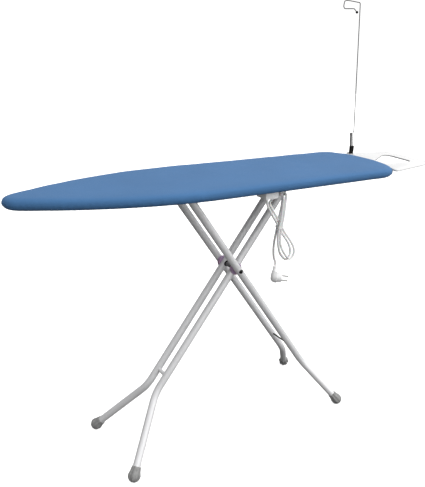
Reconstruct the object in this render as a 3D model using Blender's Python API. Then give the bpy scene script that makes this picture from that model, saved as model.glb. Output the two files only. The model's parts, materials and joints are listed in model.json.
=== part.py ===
"""Ironing board with crossed folding legs, iron rest, mains socket and wire cord holder.

Metres, +Z up. The origin is on the floor under the middle of the whole length.
The nose of the board points to -X, the iron rest to +X, left is +Y.
"""
import math

import bmesh
import bpy
from mathutils import Matrix, Vector

for item in list(bpy.data.objects):
    bpy.data.objects.remove(item, do_unlink=True)

# Overall sizes. Every x below is counted from the nose tip and shifted by at().
TOTAL_LENGTH = 1.407
GAP = 0.0003
X_AXIS = Vector((1.0, 0.0, 0.0))
Y_AXIS = Vector((0.0, 1.0, 0.0))
Z_AXIS = Vector((0.0, 0.0, 1.0))

# Ironing surface outline: nose arc, flank arc, straight side, corner arc, tail arc.
BOARD_LENGTH = 1.2115
BOARD_HALF = 0.160
BOARD_TOP = 0.8211
NOSE_RADIUS = 0.040
FLANK_END_X = 0.530
CORNER_RADIUS = 0.085
TAIL_RADIUS = 0.300

# Layers of the ironing surface.
COVER_THICK = 0.0010
COVER_EDGE = 0.014
HEM_INSET = 0.030
PAD_EDGE = COVER_EDGE - COVER_THICK - GAP
PAD_BOTTOM = BOARD_TOP - 0.0083
DECK_TOP = PAD_BOTTOM - GAP
DECK_THICK = 0.0012
DECK_INSET = 0.010
DECK_HOLE = 0.011
DECK_PITCH = 0.088
RIM_RADIUS = 0.007
RIM_Z = DECK_TOP - DECK_THICK - GAP - RIM_RADIUS
HEM_CORD_RADIUS = 0.0015
HEM_Z = BOARD_TOP - 2 * COVER_EDGE

# Cross bars and brackets under the deck.
BAR_TOP = DECK_TOP - DECK_THICK - GAP
BAR_BOTTOM = 0.7970
BAR_HALF_WIDTH = 0.010
FLANGE_TOP = BAR_BOTTOM - GAP
SHEET = 0.0015

# Crossed legs.
TUBE_RADIUS = 0.011
TUBE_WALL = 0.0012
TUBE_SIDES = 10
LEG_ANGLE = math.radians(53.5)
PIVOT_X = 0.6555
PIVOT_Z = 0.5361
AXLE_Z = 0.7820
AXLE_RADIUS = 0.004
LEG_ARM = (AXLE_Z - PIVOT_Z) / math.sin(LEG_ANGLE)
AXLE_RUN = LEG_ARM * math.cos(LEG_ANGLE)
AXLE_A_X = PIVOT_X - AXLE_RUN
AXLE_B_X = PIVOT_X + AXLE_RUN
LEG_TOP_EXTRA = 0.009
TUBE_END_Z = 0.0125
BEND_RADIUS = 0.110
FOOT_CENTRE = 0.0237
FOOT_RADIUS = 0.0183
CAP_DEPTH = 0.0048
LEG_A_Y = 0.0495
LEG_A_BEND = 0.484
LEG_A_SPLAY = math.radians(30.0)
LEG_A_BRACE = 0.390
BRACE_RADIUS = 0.0025
LEG_B_Y = 0.0255
LEG_B_BEND = 0.440
LEG_B_SPLAY = math.radians(28.0)
LEG_B_BRACE = 0.380

# Height rails and latch.
RAIL_Y = 0.0085
RAIL_START = 0.214
RAIL_END = 0.534
RAIL_FLANGE_END = 0.622
RAIL_FLANGE = 0.012
RAIL_BOTTOM = 0.7745
SLOT_START = 0.2245
SLOT_END = 0.5240
SLOT_HALF = 0.0048
LATCH_X = 0.610
LATCH_Z = 0.7890
LATCH_RADIUS = 0.003
LATCH_STEP = 0.0489
LATCH_HIGHEST_X = 0.5224

# Iron rest.
REST_TOP = 0.8112
REST_SHEET = 0.0014
REST_EDGE = 0.006
REST_FRONT_RADIUS = TAIL_RADIUS + 0.003
REST_FRONT_HALF = 0.140
REST_END_X = 1.407
REST_END_HALF = 0.100
ARM_Y = 0.095
ARM_THICK = 0.004

# Cord holder on the far rim of the rest.
HOLDER_X = 1.2436
HOLDER_Y = 0.120
HOLDER_PITCH = 0.0047
HOLDER_LEAN = 0.15
WIRE_RADIUS = 0.0014
CLAMP_TOP = 0.838
SCREW_Y = 0.1235

# Socket box, cord and plug under the near edge.
BOX_X = 0.6955
BOX_LENGTH = 0.045
BOX_Y0 = -0.130
BOX_Y1 = -0.086
BOX_Z0 = 0.7710
BOX_Z1 = 0.7915
CORD_RADIUS = 0.0035
CORD_BACK = -0.1228
CORD_FRONT = -0.1305
CORD_LEAD = -0.1150

# Plug: a round body with its cord entry at right angles to the pins.
PLUG_X = 0.7410
PLUG_Y = -0.121
PLUG_Z = 0.5255
PLUG_DEPTH = 0.0330
PLUG_RADIUS = 0.0168
PLUG_BACK = 0.0135
PLUG_FACE = 0.0132
PLUG_YAW = math.radians(40.0)
PLUG_DROP = math.radians(3.5)
PLUG_TURN = math.radians(25.0)
PIN_LENGTH = 0.0190
PIN_PITCH = 0.0190
RELIEF_OFFSET = 0.0020
RELIEF_LENGTH = 0.0126


def at(x, y, z):
    """World place of a point whose x is counted from the nose tip."""
    return Vector((x - TOTAL_LENGTH / 2, y, z))


def look(name, colour, roughness, metallic=0.0):
    """One Principled material."""
    made = bpy.data.materials.new(name)
    made.use_nodes = True
    shader = made.node_tree.nodes["Principled BSDF"]
    shader.inputs["Base Color"].default_value = (*colour, 1.0)
    shader.inputs["Roughness"].default_value = roughness
    shader.inputs["Metallic"].default_value = metallic
    return made


def body_frame(name, origin, parent=None):
    """Empty that carries one moving body, placed on its joint axis."""
    empty = bpy.data.objects.new(name, None)
    bpy.context.scene.collection.objects.link(empty)
    empty["world"] = tuple(origin)
    if parent is None:
        empty.location = origin
    else:
        empty.parent = parent
        empty.location = origin - Vector(parent["world"])
    return empty


def place(name, bm, frame):
    """Turns a mesh drawn in world coordinates into an object in its frame."""
    bmesh.ops.recalc_face_normals(bm, faces=bm.faces)
    bm.transform(Matrix.Translation(-Vector(frame["world"])))
    mesh = bpy.data.meshes.new(name)
    bm.to_mesh(mesh)
    bm.free()
    made = bpy.data.objects.new(name, mesh)
    bpy.context.scene.collection.objects.link(made)
    made.parent = frame
    return made


def piece(name, bm, material, frame, crease=35.0):
    """One named node with its material and shading."""
    made = place(name, bm, frame)
    made.data.materials.append(material)
    made.data.shade_smooth()
    made.data.set_sharp_from_angle(angle=math.radians(crease))
    return made


def shape(made, bm, operation="DIFFERENCE"):
    """Cuts the solids in bm from a piece, or joins them to it."""
    tool = place(f"{made.name}_{operation.lower()}", bm, made.parent)
    tool.hide_render = True
    tool.display_type = "WIRE"
    step = made.modifiers.new(operation.lower(), "BOOLEAN")
    step.operation = operation
    step.solver = "EXACT"
    step.object = tool


def loft(bm, rings, closed=False):
    """Skins rings of equal length; closed joins the last ring to the first."""
    made = [[bm.verts.new(point) for point in ring] for ring in rings]
    pairs = list(zip(made, made[1:]))
    if closed:
        pairs.append((made[-1], made[0]))
    else:
        bm.faces.new(made[0])
        bm.faces.new(made[-1])
    for low, high in pairs:
        for i in range(len(low)):
            j = (i + 1) % len(low)
            bm.faces.new((low[i], low[j], high[j], high[i]))


def solid(rings, closed=False):
    """A new mesh with one lofted solid."""
    bm = bmesh.new()
    loft(bm, rings, closed)
    return bm


def circle(centre, side, up, radius, sides):
    """Ring of points in the plane of two unit vectors."""
    turn = 2 * math.pi / sides
    return [centre + (side * math.cos(turn * k) + up * math.sin(turn * k)) * radius
            for k in range(sides)]


def turned(bm, origin, axis, profile, sides, closed=False):
    """Solid of revolution; profile lists (distance along the axis, radius)."""
    axis = axis.normalized()
    side = axis.orthogonal().normalized()
    up = axis.cross(side)
    loft(bm, [circle(origin + axis * t, side, up, r, sides) for t, r in profile], closed)


def rod(bm, start, end, radius, sides=12, bore=0.0):
    """Round bar between two points, with an optional bore right through."""
    span = (end - start).length
    profile = [(0.0, radius), (span, radius)]
    if bore:
        profile += [(span, bore), (0.0, bore)]
    turned(bm, start, end - start, profile, sides, closed=bool(bore))


def prism(bm, outline, travel):
    """Flat outline pushed along a vector."""
    loft(bm, [outline, [point + travel for point in outline]])


def block(bm, low, high):
    """Box between two corners given from the nose tip."""
    (x0, y0, z0), (x1, y1, z1) = low, high
    base = [at(x0, y0, z0), at(x1, y0, z0), at(x1, y1, z0), at(x0, y1, z0)]
    prism(bm, base, Z_AXIS * (z1 - z0))


def side_profile(corners, y0, y1):
    """Solid whose (x, z) outline runs from y0 to y1."""
    bm = bmesh.new()
    prism(bm, [at(x, y0, z) for x, z in corners], Y_AXIS * (y1 - y0))
    return bm


def cross_profile(corners, x0, x1):
    """Solid whose (y, z) outline runs from x0 to x1."""
    bm = bmesh.new()
    prism(bm, [at(x0, y, z) for y, z in corners], X_AXIS * (x1 - x0))
    return bm


def swept(path, radii, sides, bore=0.0):
    """Round bar or tube along a path, with the least twist."""
    tangents = []
    for i in range(len(path)):
        before = path[max(i - 1, 0)]
        after = path[min(i + 1, len(path) - 1)]
        tangents.append((after - before).normalized())
    side = tangents[0].orthogonal().normalized()
    outer = []
    inner = []
    for point, tangent, radius in zip(path, tangents, radii):
        side = (side - tangent * side.dot(tangent)).normalized()
        up = tangent.cross(side)
        outer.append(circle(point, side, up, radius, sides))
        if bore:
            inner.append(circle(point, side, up, bore, sides))
    return solid(outer + inner[::-1], closed=bool(bore))


def rounded(corners, radius, steps):
    """Open path through corners with an arc at each inner corner."""
    path = [corners[0]]
    for before, corner, after in zip(corners, corners[1:], corners[2:]):
        path += corner_arc(before, corner, after, radius, steps)
    path.append(corners[-1])
    return path


def corner_arc(before, corner, after, radius, steps):
    """Arc that replaces one corner between two straight runs."""
    inward = (before - corner).normalized()
    outward = (after - corner).normalized()
    half = inward.angle(outward) / 2
    centre = corner + (inward + outward).normalized() * (radius / math.sin(half))
    first = corner + inward * (radius / math.tan(half)) - centre
    last = corner + outward * (radius / math.tan(half)) - centre
    axis = first.cross(last)
    turn = first.angle(last)
    return [centre + Matrix.Rotation(turn * k / steps, 3, axis) @ first
            for k in range(steps + 1)]


def inset_loop(corners, distance):
    """Moves every side of a counter-clockwise flat loop inwards."""
    moved = []
    for i, corner in enumerate(corners):
        before = (corner - corners[i - 1]).normalized()
        after = (corners[(i + 1) % len(corners)] - corner).normalized()
        first = Z_AXIS.cross(before)
        second = Z_AXIS.cross(after)
        moved.append(corner + (first + second) * (distance / (1.0 + first.dot(second))))
    return moved


def rounded_loop(corners, radii, steps):
    """Closed flat loop with an arc wherever its corner radius is above zero."""
    loop = []
    for i, corner in enumerate(corners):
        after = corners[(i + 1) % len(corners)]
        if radii[i] > 0:
            loop += corner_arc(corners[i - 1], corner, after, radii[i], steps)
        else:
            loop.append(corner)
    return loop


def smooth_path(points, steps):
    """Catmull-Rom curve through points."""
    padded = [points[0] * 2 - points[1]] + points + [points[-1] * 2 - points[-2]]
    path = []
    for a, b, c, d in zip(padded, padded[1:], padded[2:], padded[3:]):
        for k in range(steps):
            t = k / steps
            bend = (a * 2 - b * 5 + c * 4 - d) * t ** 2 + (b * 3 - a - c * 3 + d) * t ** 3
            path.append((b * 2 + (c - a) * t + bend) / 2)
    path.append(points[-1])
    return path


def arc_points(centre_x, centre_y, radius, start, end, steps):
    """Points of a flat arc, without its last point."""
    turn = (end - start) / steps
    return [(centre_x + radius * math.cos(start + turn * k),
             centre_y + radius * math.sin(start + turn * k)) for k in range(steps)]


def board_outline(inset, z):
    """Outline of the ironing surface, moved inwards by inset, at height z."""
    reach = FLANK_END_X - NOSE_RADIUS
    flank = (reach ** 2 / (BOARD_HALF - NOSE_RADIUS) + NOSE_RADIUS + BOARD_HALF) / 2
    flank_angle = math.atan2(flank - BOARD_HALF, -reach)
    tail_x = BOARD_LENGTH - TAIL_RADIUS
    drop = BOARD_HALF - CORNER_RADIUS
    shift = math.sqrt((TAIL_RADIUS - CORNER_RADIUS) ** 2 - drop ** 2)
    tail_angle = math.atan2(drop, shift)
    half = arc_points(NOSE_RADIUS, 0.0, NOSE_RADIUS - inset, math.pi, flank_angle, 6)
    half += arc_points(FLANK_END_X, BOARD_HALF - flank, flank - inset,
                       flank_angle, math.pi / 2, 10)
    half.append((FLANK_END_X, BOARD_HALF - inset))
    half += arc_points(tail_x + shift, drop, CORNER_RADIUS - inset,
                       math.pi / 2, tail_angle, 6)
    half += arc_points(tail_x, 0.0, TAIL_RADIUS - inset, tail_angle, 0.0, 3)
    half.append((BOARD_LENGTH - inset, 0.0))
    other = [(x, -y) for x, y in half[-2:0:-1]]
    return [at(x, y, z) for x, y in half + other]


def edge_profile(radius, start, end, steps):
    """(inset, z) points on an arc about the centre line of the board edge."""
    turn = (end - start) / steps
    centre_z = BOARD_TOP - COVER_EDGE
    return [(COVER_EDGE - radius * math.cos(start + turn * k),
             centre_z + radius * math.sin(start + turn * k)) for k in range(steps + 1)]


def board_solid(profile, closed=False):
    """Lofts (inset, z) pairs round the board."""
    return solid([board_outline(inset, z) for inset, z in profile], closed)


def fabric_cover(frame, material):
    """Thin cover wrapped round the edge and turned under as a hem."""
    quarter = math.pi / 2
    outer = edge_profile(COVER_EDGE, quarter, -quarter, 6)
    inner = edge_profile(COVER_EDGE - COVER_THICK, -quarter, quarter, 6)
    hem = [(HEM_INSET, HEM_Z), (HEM_INSET, HEM_Z + COVER_THICK)]
    piece("fabric_cover", board_solid(outer + hem + inner), material, frame)


def felt_pad(frame, material):
    """Padding with a rounded edge that follows the cover."""
    profile = edge_profile(PAD_EDGE, math.pi / 2, math.pi / 6, 2)
    profile.append((profile[-1][0], PAD_BOTTOM))
    piece("felt_pad", board_solid(profile), material, frame)


def deck_plate(frame, material):
    """Steel sheet with rows of steam holes."""
    sheet = [(DECK_INSET, DECK_TOP), (DECK_INSET, DECK_TOP - DECK_THICK)]
    made = piece("deck_plate", board_solid(sheet), material, frame)
    holes = bmesh.new()
    drop = DECK_TOP - DECK_THICK * 2
    for row in (-1, 0, 1):
        columns = 13 if row else 14
        first = 0.225 if row else 0.150
        for k in range(columns):
            centre = at(first + DECK_PITCH * k, DECK_PITCH * row, drop)
            ring = circle(centre, X_AXIS, Y_AXIS, DECK_HOLE, 6)
            prism(holes, ring, Z_AXIS * (DECK_THICK * 3))
    shape(made, holes)


def rim_tube(name, inset, z, radius, sides, frame, material):
    """Round bar that follows the board outline."""
    turn = 2 * math.pi / sides
    profile = [(inset + radius * math.cos(turn * k), z + radius * math.sin(turn * k))
               for k in range(sides)]
    piece(name, board_solid(profile, closed=True), material, frame, crease=60.0)


def cord_lock(frame, material):
    """Toggle that grips the drawcord under the tail."""
    bm = bmesh.new()
    x = BOARD_LENGTH - HEM_INSET - 0.0035
    turned(bm, at(x, -0.012, HEM_Z - 0.0066), Y_AXIS,
           [(0.0, 0.0035), (0.002, 0.0050), (0.022, 0.0050), (0.024, 0.0035)], 12)
    piece("cord_lock", bm, material, frame)


def cross_bar(name, x, half_length, frame, material, pad_half=0.0, pad_bottom=0.0):
    """Bar under the deck between the rim tubes, with an optional lower pad."""
    corners = [(-half_length, BAR_BOTTOM), (half_length, BAR_BOTTOM),
               (half_length, BAR_TOP), (-half_length, BAR_TOP)]
    if pad_half:
        corners[1:1] = [(-pad_half, BAR_BOTTOM), (-pad_half, pad_bottom),
                        (pad_half, pad_bottom), (pad_half, BAR_BOTTOM)]
    bm = cross_profile(corners, x - BAR_HALF_WIDTH, x + BAR_HALF_WIDTH)
    return piece(name, bm, material, frame)


def height_rail(name, side, frame, material):
    """Hanging plate with a level slot for the sliding axle."""
    y0 = side * RAIL_Y
    y1 = side * (RAIL_Y + SHEET)
    y2 = side * (RAIL_Y + RAIL_FLANGE)
    corners = [(RAIL_START, RAIL_BOTTOM), (RAIL_END, RAIL_BOTTOM),
               (RAIL_END + 0.012, FLANGE_TOP - SHEET), (RAIL_FLANGE_END, FLANGE_TOP - SHEET),
               (RAIL_FLANGE_END, FLANGE_TOP), (RAIL_START, FLANGE_TOP)]
    made = piece(name, side_profile(corners, y0, y1), material, frame)
    flange = side_profile([(RAIL_START, FLANGE_TOP - SHEET), (RAIL_FLANGE_END, FLANGE_TOP - SHEET),
                           (RAIL_FLANGE_END, FLANGE_TOP), (RAIL_START, FLANGE_TOP)], y0, y2)
    shape(made, flange, "UNION")
    slot = []
    for centre, start in ((SLOT_END, -90.0), (SLOT_START, 90.0)):
        for k in range(7):
            angle = math.radians(start + 30.0 * k)
            slot.append((centre + SLOT_HALF * math.cos(angle),
                         AXLE_Z + SLOT_HALF * math.sin(angle)))
    shape(made, side_profile(slot, y0 - side * 0.002, y1 + side * 0.002))


def fork(name, x, half_x, y0, y1, bottom, hole_z, hole_radius, frame, material):
    """Upturned U bracket with a cross hole in both ears."""
    corners = [(y0, bottom), (y0 + SHEET, bottom), (y0 + SHEET, FLANGE_TOP - SHEET),
               (y1 - SHEET, FLANGE_TOP - SHEET), (y1 - SHEET, bottom), (y1, bottom),
               (y1, FLANGE_TOP), (y0, FLANGE_TOP)]
    made = piece(name, cross_profile(corners, x - half_x, x + half_x), material, frame)
    hole = bmesh.new()
    rod(hole, at(x, y0 - 0.002, hole_z), at(x, y1 + 0.002, hole_z), hole_radius)
    shape(made, hole)


def rest_outline(inset, z):
    """Outline of the iron rest: hollow front, tapering sides, rounded end."""
    centre_x = BOARD_LENGTH - TAIL_RADIUS
    spread = math.asin(REST_FRONT_HALF / REST_FRONT_RADIUS)
    front = []
    for k in range(9):
        angle = spread - 2 * spread * k / 8
        front.append(at(centre_x + REST_FRONT_RADIUS * math.cos(angle),
                        REST_FRONT_RADIUS * math.sin(angle), z))
    corners = front + [at(REST_END_X, -REST_END_HALF, z), at(REST_END_X, REST_END_HALF, z)]
    corners = inset_loop(corners, inset)
    radii = [0.008 - inset] + [0.0] * 7 + [0.008 - inset] + [0.018 - inset] * 2
    return rounded_loop(corners, radii, 4)


def rest_opening(spread, z):
    """Iron-shaped opening of the rest, widened by spread."""
    corners = [at(1.230, -0.055, z), at(1.352, -0.062, z), at(1.362, 0.072, z),
               at(1.240, 0.004, z)]
    radii = [0.016 + spread, 0.020 + spread, 0.020 + spread, 0.014 + spread]
    return rounded_loop(inset_loop(corners, -spread), radii, 4)


def iron_rest(frame, material):
    """Pressed plate with a rolled edge and a lipped opening."""
    step = REST_EDGE / 3
    profile = [(step * 1.5, REST_TOP), (step * 0.5, REST_TOP - step * 0.4),
               (0.0, REST_TOP - step * 1.4), (0.0, REST_TOP - REST_EDGE),
               (REST_SHEET, REST_TOP - REST_EDGE), (REST_SHEET, REST_TOP - step * 1.5),
               (step * 1.6, REST_TOP - REST_SHEET)]
    bm = solid([rest_outline(inset, z) for inset, z in profile])
    made = piece("iron_rest", bm, material, frame)
    hole = bmesh.new()
    prism(hole, rest_opening(0.0, REST_TOP - 0.010), Z_AXIS * 0.020)
    shape(made, hole)
    low = REST_TOP - 0.0045
    lip = solid([rest_opening(-0.0004, low), rest_opening(-0.0004, REST_TOP - 0.0006),
                 rest_opening(0.0006, REST_TOP), rest_opening(0.0014, REST_TOP),
                 rest_opening(0.0014, low)], closed=True)
    shape(made, lip, "UNION")


def arm_rise_x():
    """x of the step of a rest arm, just past the board tail."""
    return BOARD_LENGTH - TAIL_RADIUS + math.sqrt(TAIL_RADIUS ** 2 - 0.086 ** 2) + 0.010


def rest_arm(name, side, frame, material):
    """Flat arm that runs under the hem and steps up to the rest."""
    low = 0.7875
    high = REST_TOP - REST_SHEET - GAP - ARM_THICK
    rise = arm_rise_x()
    corners = [(1.000, low), (rise, low), (rise + 0.0015, high), (1.330, high),
               (1.330, high + ARM_THICK), (rise - 0.0025, high + ARM_THICK),
               (rise - 0.0040, low + ARM_THICK), (1.000, low + ARM_THICK)]
    centre = side * ARM_Y
    made = piece(name, side_profile(corners, centre - 0.008, centre + 0.008), material, frame)
    shape(made, screw_rods(centre, 0.0023, low - 0.002, low + ARM_THICK + 0.002))


def screw_rods(y, radius, z0, z1):
    """Two upright rods at the screw places of one rest arm."""
    bm = bmesh.new()
    for x in (1.030, 1.090):
        rod(bm, at(x, y, z0), at(x, y, z1), radius)
    return bm


def rest_screws(frame, material):
    """Four pan-head screws that hold both arms to the tail bars."""
    for word, y in (("left", ARM_Y), ("right", -ARM_Y)):
        for place_word, x in (("front", 1.030), ("back", 1.090)):
            bm = bmesh.new()
            turned(bm, at(x, y, 0.7852), Z_AXIS,
                   [(0.0, 0.0025), (0.0008, 0.0038), (0.0020, 0.0038), (0.0020, 0.0020),
                    (0.0160, 0.0020)], 12)
            piece(f"rest_screw_{word}_{place_word}", bm, material, frame)


def holder_clamp(frame, material):
    """C-shaped clamp on the rim, with a slot for the wire and a notched top."""
    x = HOLDER_X
    low = REST_TOP + GAP
    half = 0.0072
    body = side_profile([(x - half, low), (x + half, low), (x + half + 0.0007, CLAMP_TOP),
                         (x + 0.0032, CLAMP_TOP), (x, CLAMP_TOP - 0.006),
                         (x - 0.0032, CLAMP_TOP), (x - half - 0.0007, CLAMP_TOP)],
                        HOLDER_Y - 0.0035, HOLDER_Y + 0.0035)
    made = piece("holder_clamp", body, material, frame)
    near = HOLDER_Y - 0.0035
    hook = cross_profile([(near, low - 0.0155), (0.1334, low - 0.0155), (0.1334, low + 0.0013),
                          (near, low + 0.0013), (near, low), (0.1308, low),
                          (0.1308, low - 0.0115), (near, low - 0.0115)], x - half, x + half)
    shape(made, hook, "UNION")
    slot = bmesh.new()
    wide = HOLDER_PITCH + WIRE_RADIUS + GAP
    block(slot, (x - wide, HOLDER_Y - WIRE_RADIUS - GAP, CLAMP_TOP - 0.0225),
          (x + wide, HOLDER_Y + WIRE_RADIUS + GAP, CLAMP_TOP + 0.002))
    shape(made, slot)
    hole = bmesh.new()
    rod(hole, at(x, SCREW_Y, low - 0.018), at(x, SCREW_Y, low - 0.009), 0.0024)
    shape(made, hole)


def clamp_screw(frame, material):
    """Thumb screw that presses the clamp on the rim from below."""
    bm = bmesh.new()
    bottom = REST_TOP - 0.0245
    turned(bm, at(HOLDER_X, SCREW_Y, bottom), Z_AXIS,
           [(0.0, 0.0050), (0.0010, 0.0060), (0.0080, 0.0060), (0.0090, 0.0045),
            (0.0090, 0.0020), (0.0225, 0.0020)], 12)
    piece("clamp_screw", bm, material, frame)


def wire_route():
    """Centre line of the holder wire from its short end to the hook tip."""
    x = HOLDER_X
    y = HOLDER_Y
    pitch = HOLDER_PITCH
    turn_z = CLAMP_TOP - 0.0205 + pitch
    short_z = 0.8800
    kink_z = 0.8850
    path = [at(x - pitch - HOLDER_LEAN * (short_z - CLAMP_TOP), y, short_z),
            at(x - pitch, y, CLAMP_TOP)]
    for k in range(9):
        angle = math.pi + math.pi * k / 8
        path.append(at(x + pitch * math.cos(angle), y, turn_z + pitch * math.sin(angle)))
    top = [at(x + pitch, y, turn_z), at(x + pitch, y, CLAMP_TOP),
           at(x + pitch - HOLDER_LEAN * (kink_z - CLAMP_TOP), y, kink_z),
           at(1.2446, y, 0.8915), at(1.2026, y, 1.3050)]
    path += rounded(top, 0.006, 3)[1:-1]
    path += corner_arc(top[3], top[4], at(1.150, y, 1.3090), 0.006, 5)
    path += rounded([at(1.150, y, 1.3090), at(1.1320, y, 1.3080), at(1.1300, y, 1.2830),
                     at(1.1500, y, 1.2845), at(1.1780, y, 1.2860), at(1.1885, y, 1.2785)],
                    0.0085, 4)
    return path


def holder_wire(frame, material):
    """Bent spring wire with a hook at the top."""
    path = wire_route()
    piece("holder_wire", swept(path, [WIRE_RADIUS] * len(path), 6), material, frame, 70.0)


def holder_sleeve(frame, material):
    """Plastic sleeve with a round end over the short end of the wire."""
    bm = bmesh.new()
    bore = WIRE_RADIUS + GAP
    rise = 0.0010
    axis = Vector((-HOLDER_LEAN, 0.0, 1.0))
    turned(bm, at(HOLDER_X - HOLDER_PITCH, HOLDER_Y, CLAMP_TOP) + axis * rise, axis,
           [(0.0470, 0.0008), (0.0465, 0.0025), (0.0445, 0.0037), (0.0405, 0.0037),
            (0.0400, 0.0033), (0.0, 0.0033), (0.0, bore), (0.0425, bore)], 12)
    piece("holder_sleeve", bm, material, frame)


def holder_tip(frame, material):
    """Ball on the end of the hook."""
    bm = bmesh.new()
    path = wire_route()
    along = (path[-1] - path[-2]).normalized()
    radius = 0.0042
    profile = [(radius - radius * math.cos(math.pi * k / 8),
                max(radius * math.sin(math.pi * k / 8), 0.0006)) for k in range(9)]
    turned(bm, path[-1] + along * GAP, along, profile, 12)
    piece("holder_tip", bm, material, frame)


def socket_bracket(frame, material):
    """Stepped strip that carries the socket box from the middle bar."""
    low = BOX_Z1 + GAP
    high = FLANGE_TOP - 0.002
    corners = [(0.600, high), (0.652, high), (0.660, low), (0.714, low),
               (0.714, low + 0.002), (0.661, low + 0.002), (0.653, high + 0.002),
               (0.600, high + 0.002)]
    piece("socket_bracket", side_profile(corners, -0.120, -0.097), material, frame)


def socket_housing(frame, material):
    """White box, open below for the round socket insert."""
    x0 = BOX_X - BOX_LENGTH / 2
    x1 = BOX_X + BOX_LENGTH / 2
    bm = bmesh.new()
    block(bm, (x0, BOX_Y0, BOX_Z0), (x1, BOX_Y1, BOX_Z1))
    uprights = [edge for edge in bm.edges
                if abs(edge.verts[0].co.z - edge.verts[1].co.z) > BOX_Z1 - BOX_Z0 - GAP]
    bmesh.ops.bevel(bm, geom=uprights, offset=0.003, segments=2, affect="EDGES", profile=0.5)
    made = piece("socket_housing", bm, material, frame)
    well = bmesh.new()
    centre = at(BOX_X, (BOX_Y0 + BOX_Y1) / 2 + 0.001, BOX_Z0 - 0.002)
    rod(well, centre, centre + Z_AXIS * 0.017, 0.0185, 20)
    shape(made, well)


def socket_insert(frame, material):
    """Round insert with two pin holes."""
    bm = bmesh.new()
    centre = at(BOX_X, (BOX_Y0 + BOX_Y1) / 2 + 0.001, BOX_Z0 + 0.003)
    rod(bm, centre, centre + Z_AXIS * 0.0115, 0.0182, 20)
    made = piece("socket_insert", bm, material, frame)
    holes = bmesh.new()
    for side in (-1, 1):
        hole = centre + X_AXIS * (0.0095 * side)
        rod(holes, hole - Z_AXIS * 0.002, hole + Z_AXIS * 0.009, 0.0026)
    shape(made, holes)


def cord_turn(shift, early):
    """One hanging turn of the cord: down behind, round the loop, up in front."""
    low = CORD_FRONT if early else CORD_BACK
    down = [(0.6905, 0.7440, CORD_BACK), (0.7030, 0.7255, CORD_BACK),
            (0.7170, 0.7060, CORD_BACK), (0.7310, 0.6860, CORD_BACK),
            (0.7450, 0.6640, CORD_BACK), (0.7610, 0.6450, CORD_BACK),
            (0.7760, 0.6240, (low + CORD_BACK) / 2)]
    up = [(0.7845, 0.6020, low), (0.7815, 0.5850, low), (0.7705, 0.5765, low),
          (0.7580, 0.5850, low), (0.7455, 0.6000, low), (0.7330, 0.6200, CORD_FRONT),
          (0.7265, 0.6450, CORD_FRONT), (0.7270, 0.6705, CORD_FRONT),
          (0.7300, 0.6914, CORD_FRONT), (0.7339, 0.7163, CORD_FRONT),
          (0.7345, 0.7450, CORD_FRONT)]
    lift = 0.003 if early else 0.0
    return [at(x + shift, y, z + lift) for x, z, y in down + up]


def plug_axes():
    """Directions of the pins, of the level line across them and upwards."""
    ahead = Vector((math.cos(PLUG_YAW), -math.sin(PLUG_YAW), 0.0))
    across = Z_AXIS.cross(ahead)
    pins = ahead * math.cos(PLUG_DROP) - Z_AXIS * math.sin(PLUG_DROP)
    return pins, across, pins.cross(across)


def plug_entry():
    """Direction from the plug towards its cord."""
    across, upright = plug_axes()[1:]
    return upright * math.cos(PLUG_TURN) + across * math.sin(PLUG_TURN)


def plug_centre():
    """Middle of the round plug body."""
    return at(PLUG_X, PLUG_Y, PLUG_Z)


def cord_end():
    """Place where the cord meets the strain relief."""
    return plug_centre() + plug_entry() * 0.033 - plug_axes()[0] * 0.0085


def cord_route():
    """Centre line of the bundled cord from the box to the strain relief."""
    start = [at(0.6832, CORD_BACK, BOX_Z0 - GAP), at(0.6837, CORD_BACK, 0.760)]
    behind = [at(0.7375, -0.1285, 0.768), at(0.7350, -0.119, 0.7765), at(0.7270, -0.106, 0.768),
              at(0.7170, -0.102, 0.7600), at(0.7050, -0.108, 0.7550), at(0.6990, -0.117, 0.7530)]
    crest = [at(0.746, -0.129, 0.772), at(0.748, -0.1205, 0.7795), at(0.748, -0.112, 0.770)]
    lead = [at(0.7440, CORD_LEAD, 0.745), at(0.7385, CORD_LEAD, 0.715),
            at(0.7345, CORD_LEAD, 0.6870), at(0.7301, CORD_LEAD, 0.6582), at(0.7284, -0.113, 0.6336),
            at(0.7343, -0.106, 0.6056), at(0.7428, -0.1000, 0.5800)]
    end = [cord_end() + plug_entry() * 0.010, cord_end()]
    turns = cord_turn(0.0, False) + behind + cord_turn(0.0082, True)
    return smooth_path(start + turns + crest + lead + end, 2)


def mains_cord(frame, material):
    """Bundled mains cord."""
    path = cord_route()
    piece("mains_cord", swept(path, [CORD_RADIUS] * len(path), 7), material, frame, 60.0)


def cord_tie(frame, material):
    """Band pulled round the strands at the crossing."""
    z = 0.6805
    rings = []
    for spread, level in ((0.0060, z), (0.0060, z + 0.004), (0.0052, z + 0.004), (0.0052, z)):
        corners = [at(0.7285, CORD_FRONT, level), at(0.7367, CORD_FRONT, level),
                   at(0.7436, CORD_BACK, level), at(0.7338, CORD_LEAD, level)]
        rings.append(rounded_loop(inset_loop(corners, -spread), [spread] * 4, 4))
    piece("cord_tie", solid(rings, closed=True), material, frame)


def strain_relief(frame, material):
    """Ribbed sleeve between the cord and the plug."""
    entry = plug_entry()
    rib = RELIEF_LENGTH / 3
    profile = [(0.0, 0.0044)]
    for k in range(3):
        start = rib * k
        profile += [(start + rib * 0.10, 0.0052), (start + rib * 0.55, 0.0052),
                    (start + rib * 0.65, 0.0045), (start + rib, 0.0045)]
    bm = bmesh.new()
    turned(bm, cord_end() - entry * RELIEF_OFFSET, -entry, profile, 12)
    piece("strain_relief", bm, material, frame)


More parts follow.
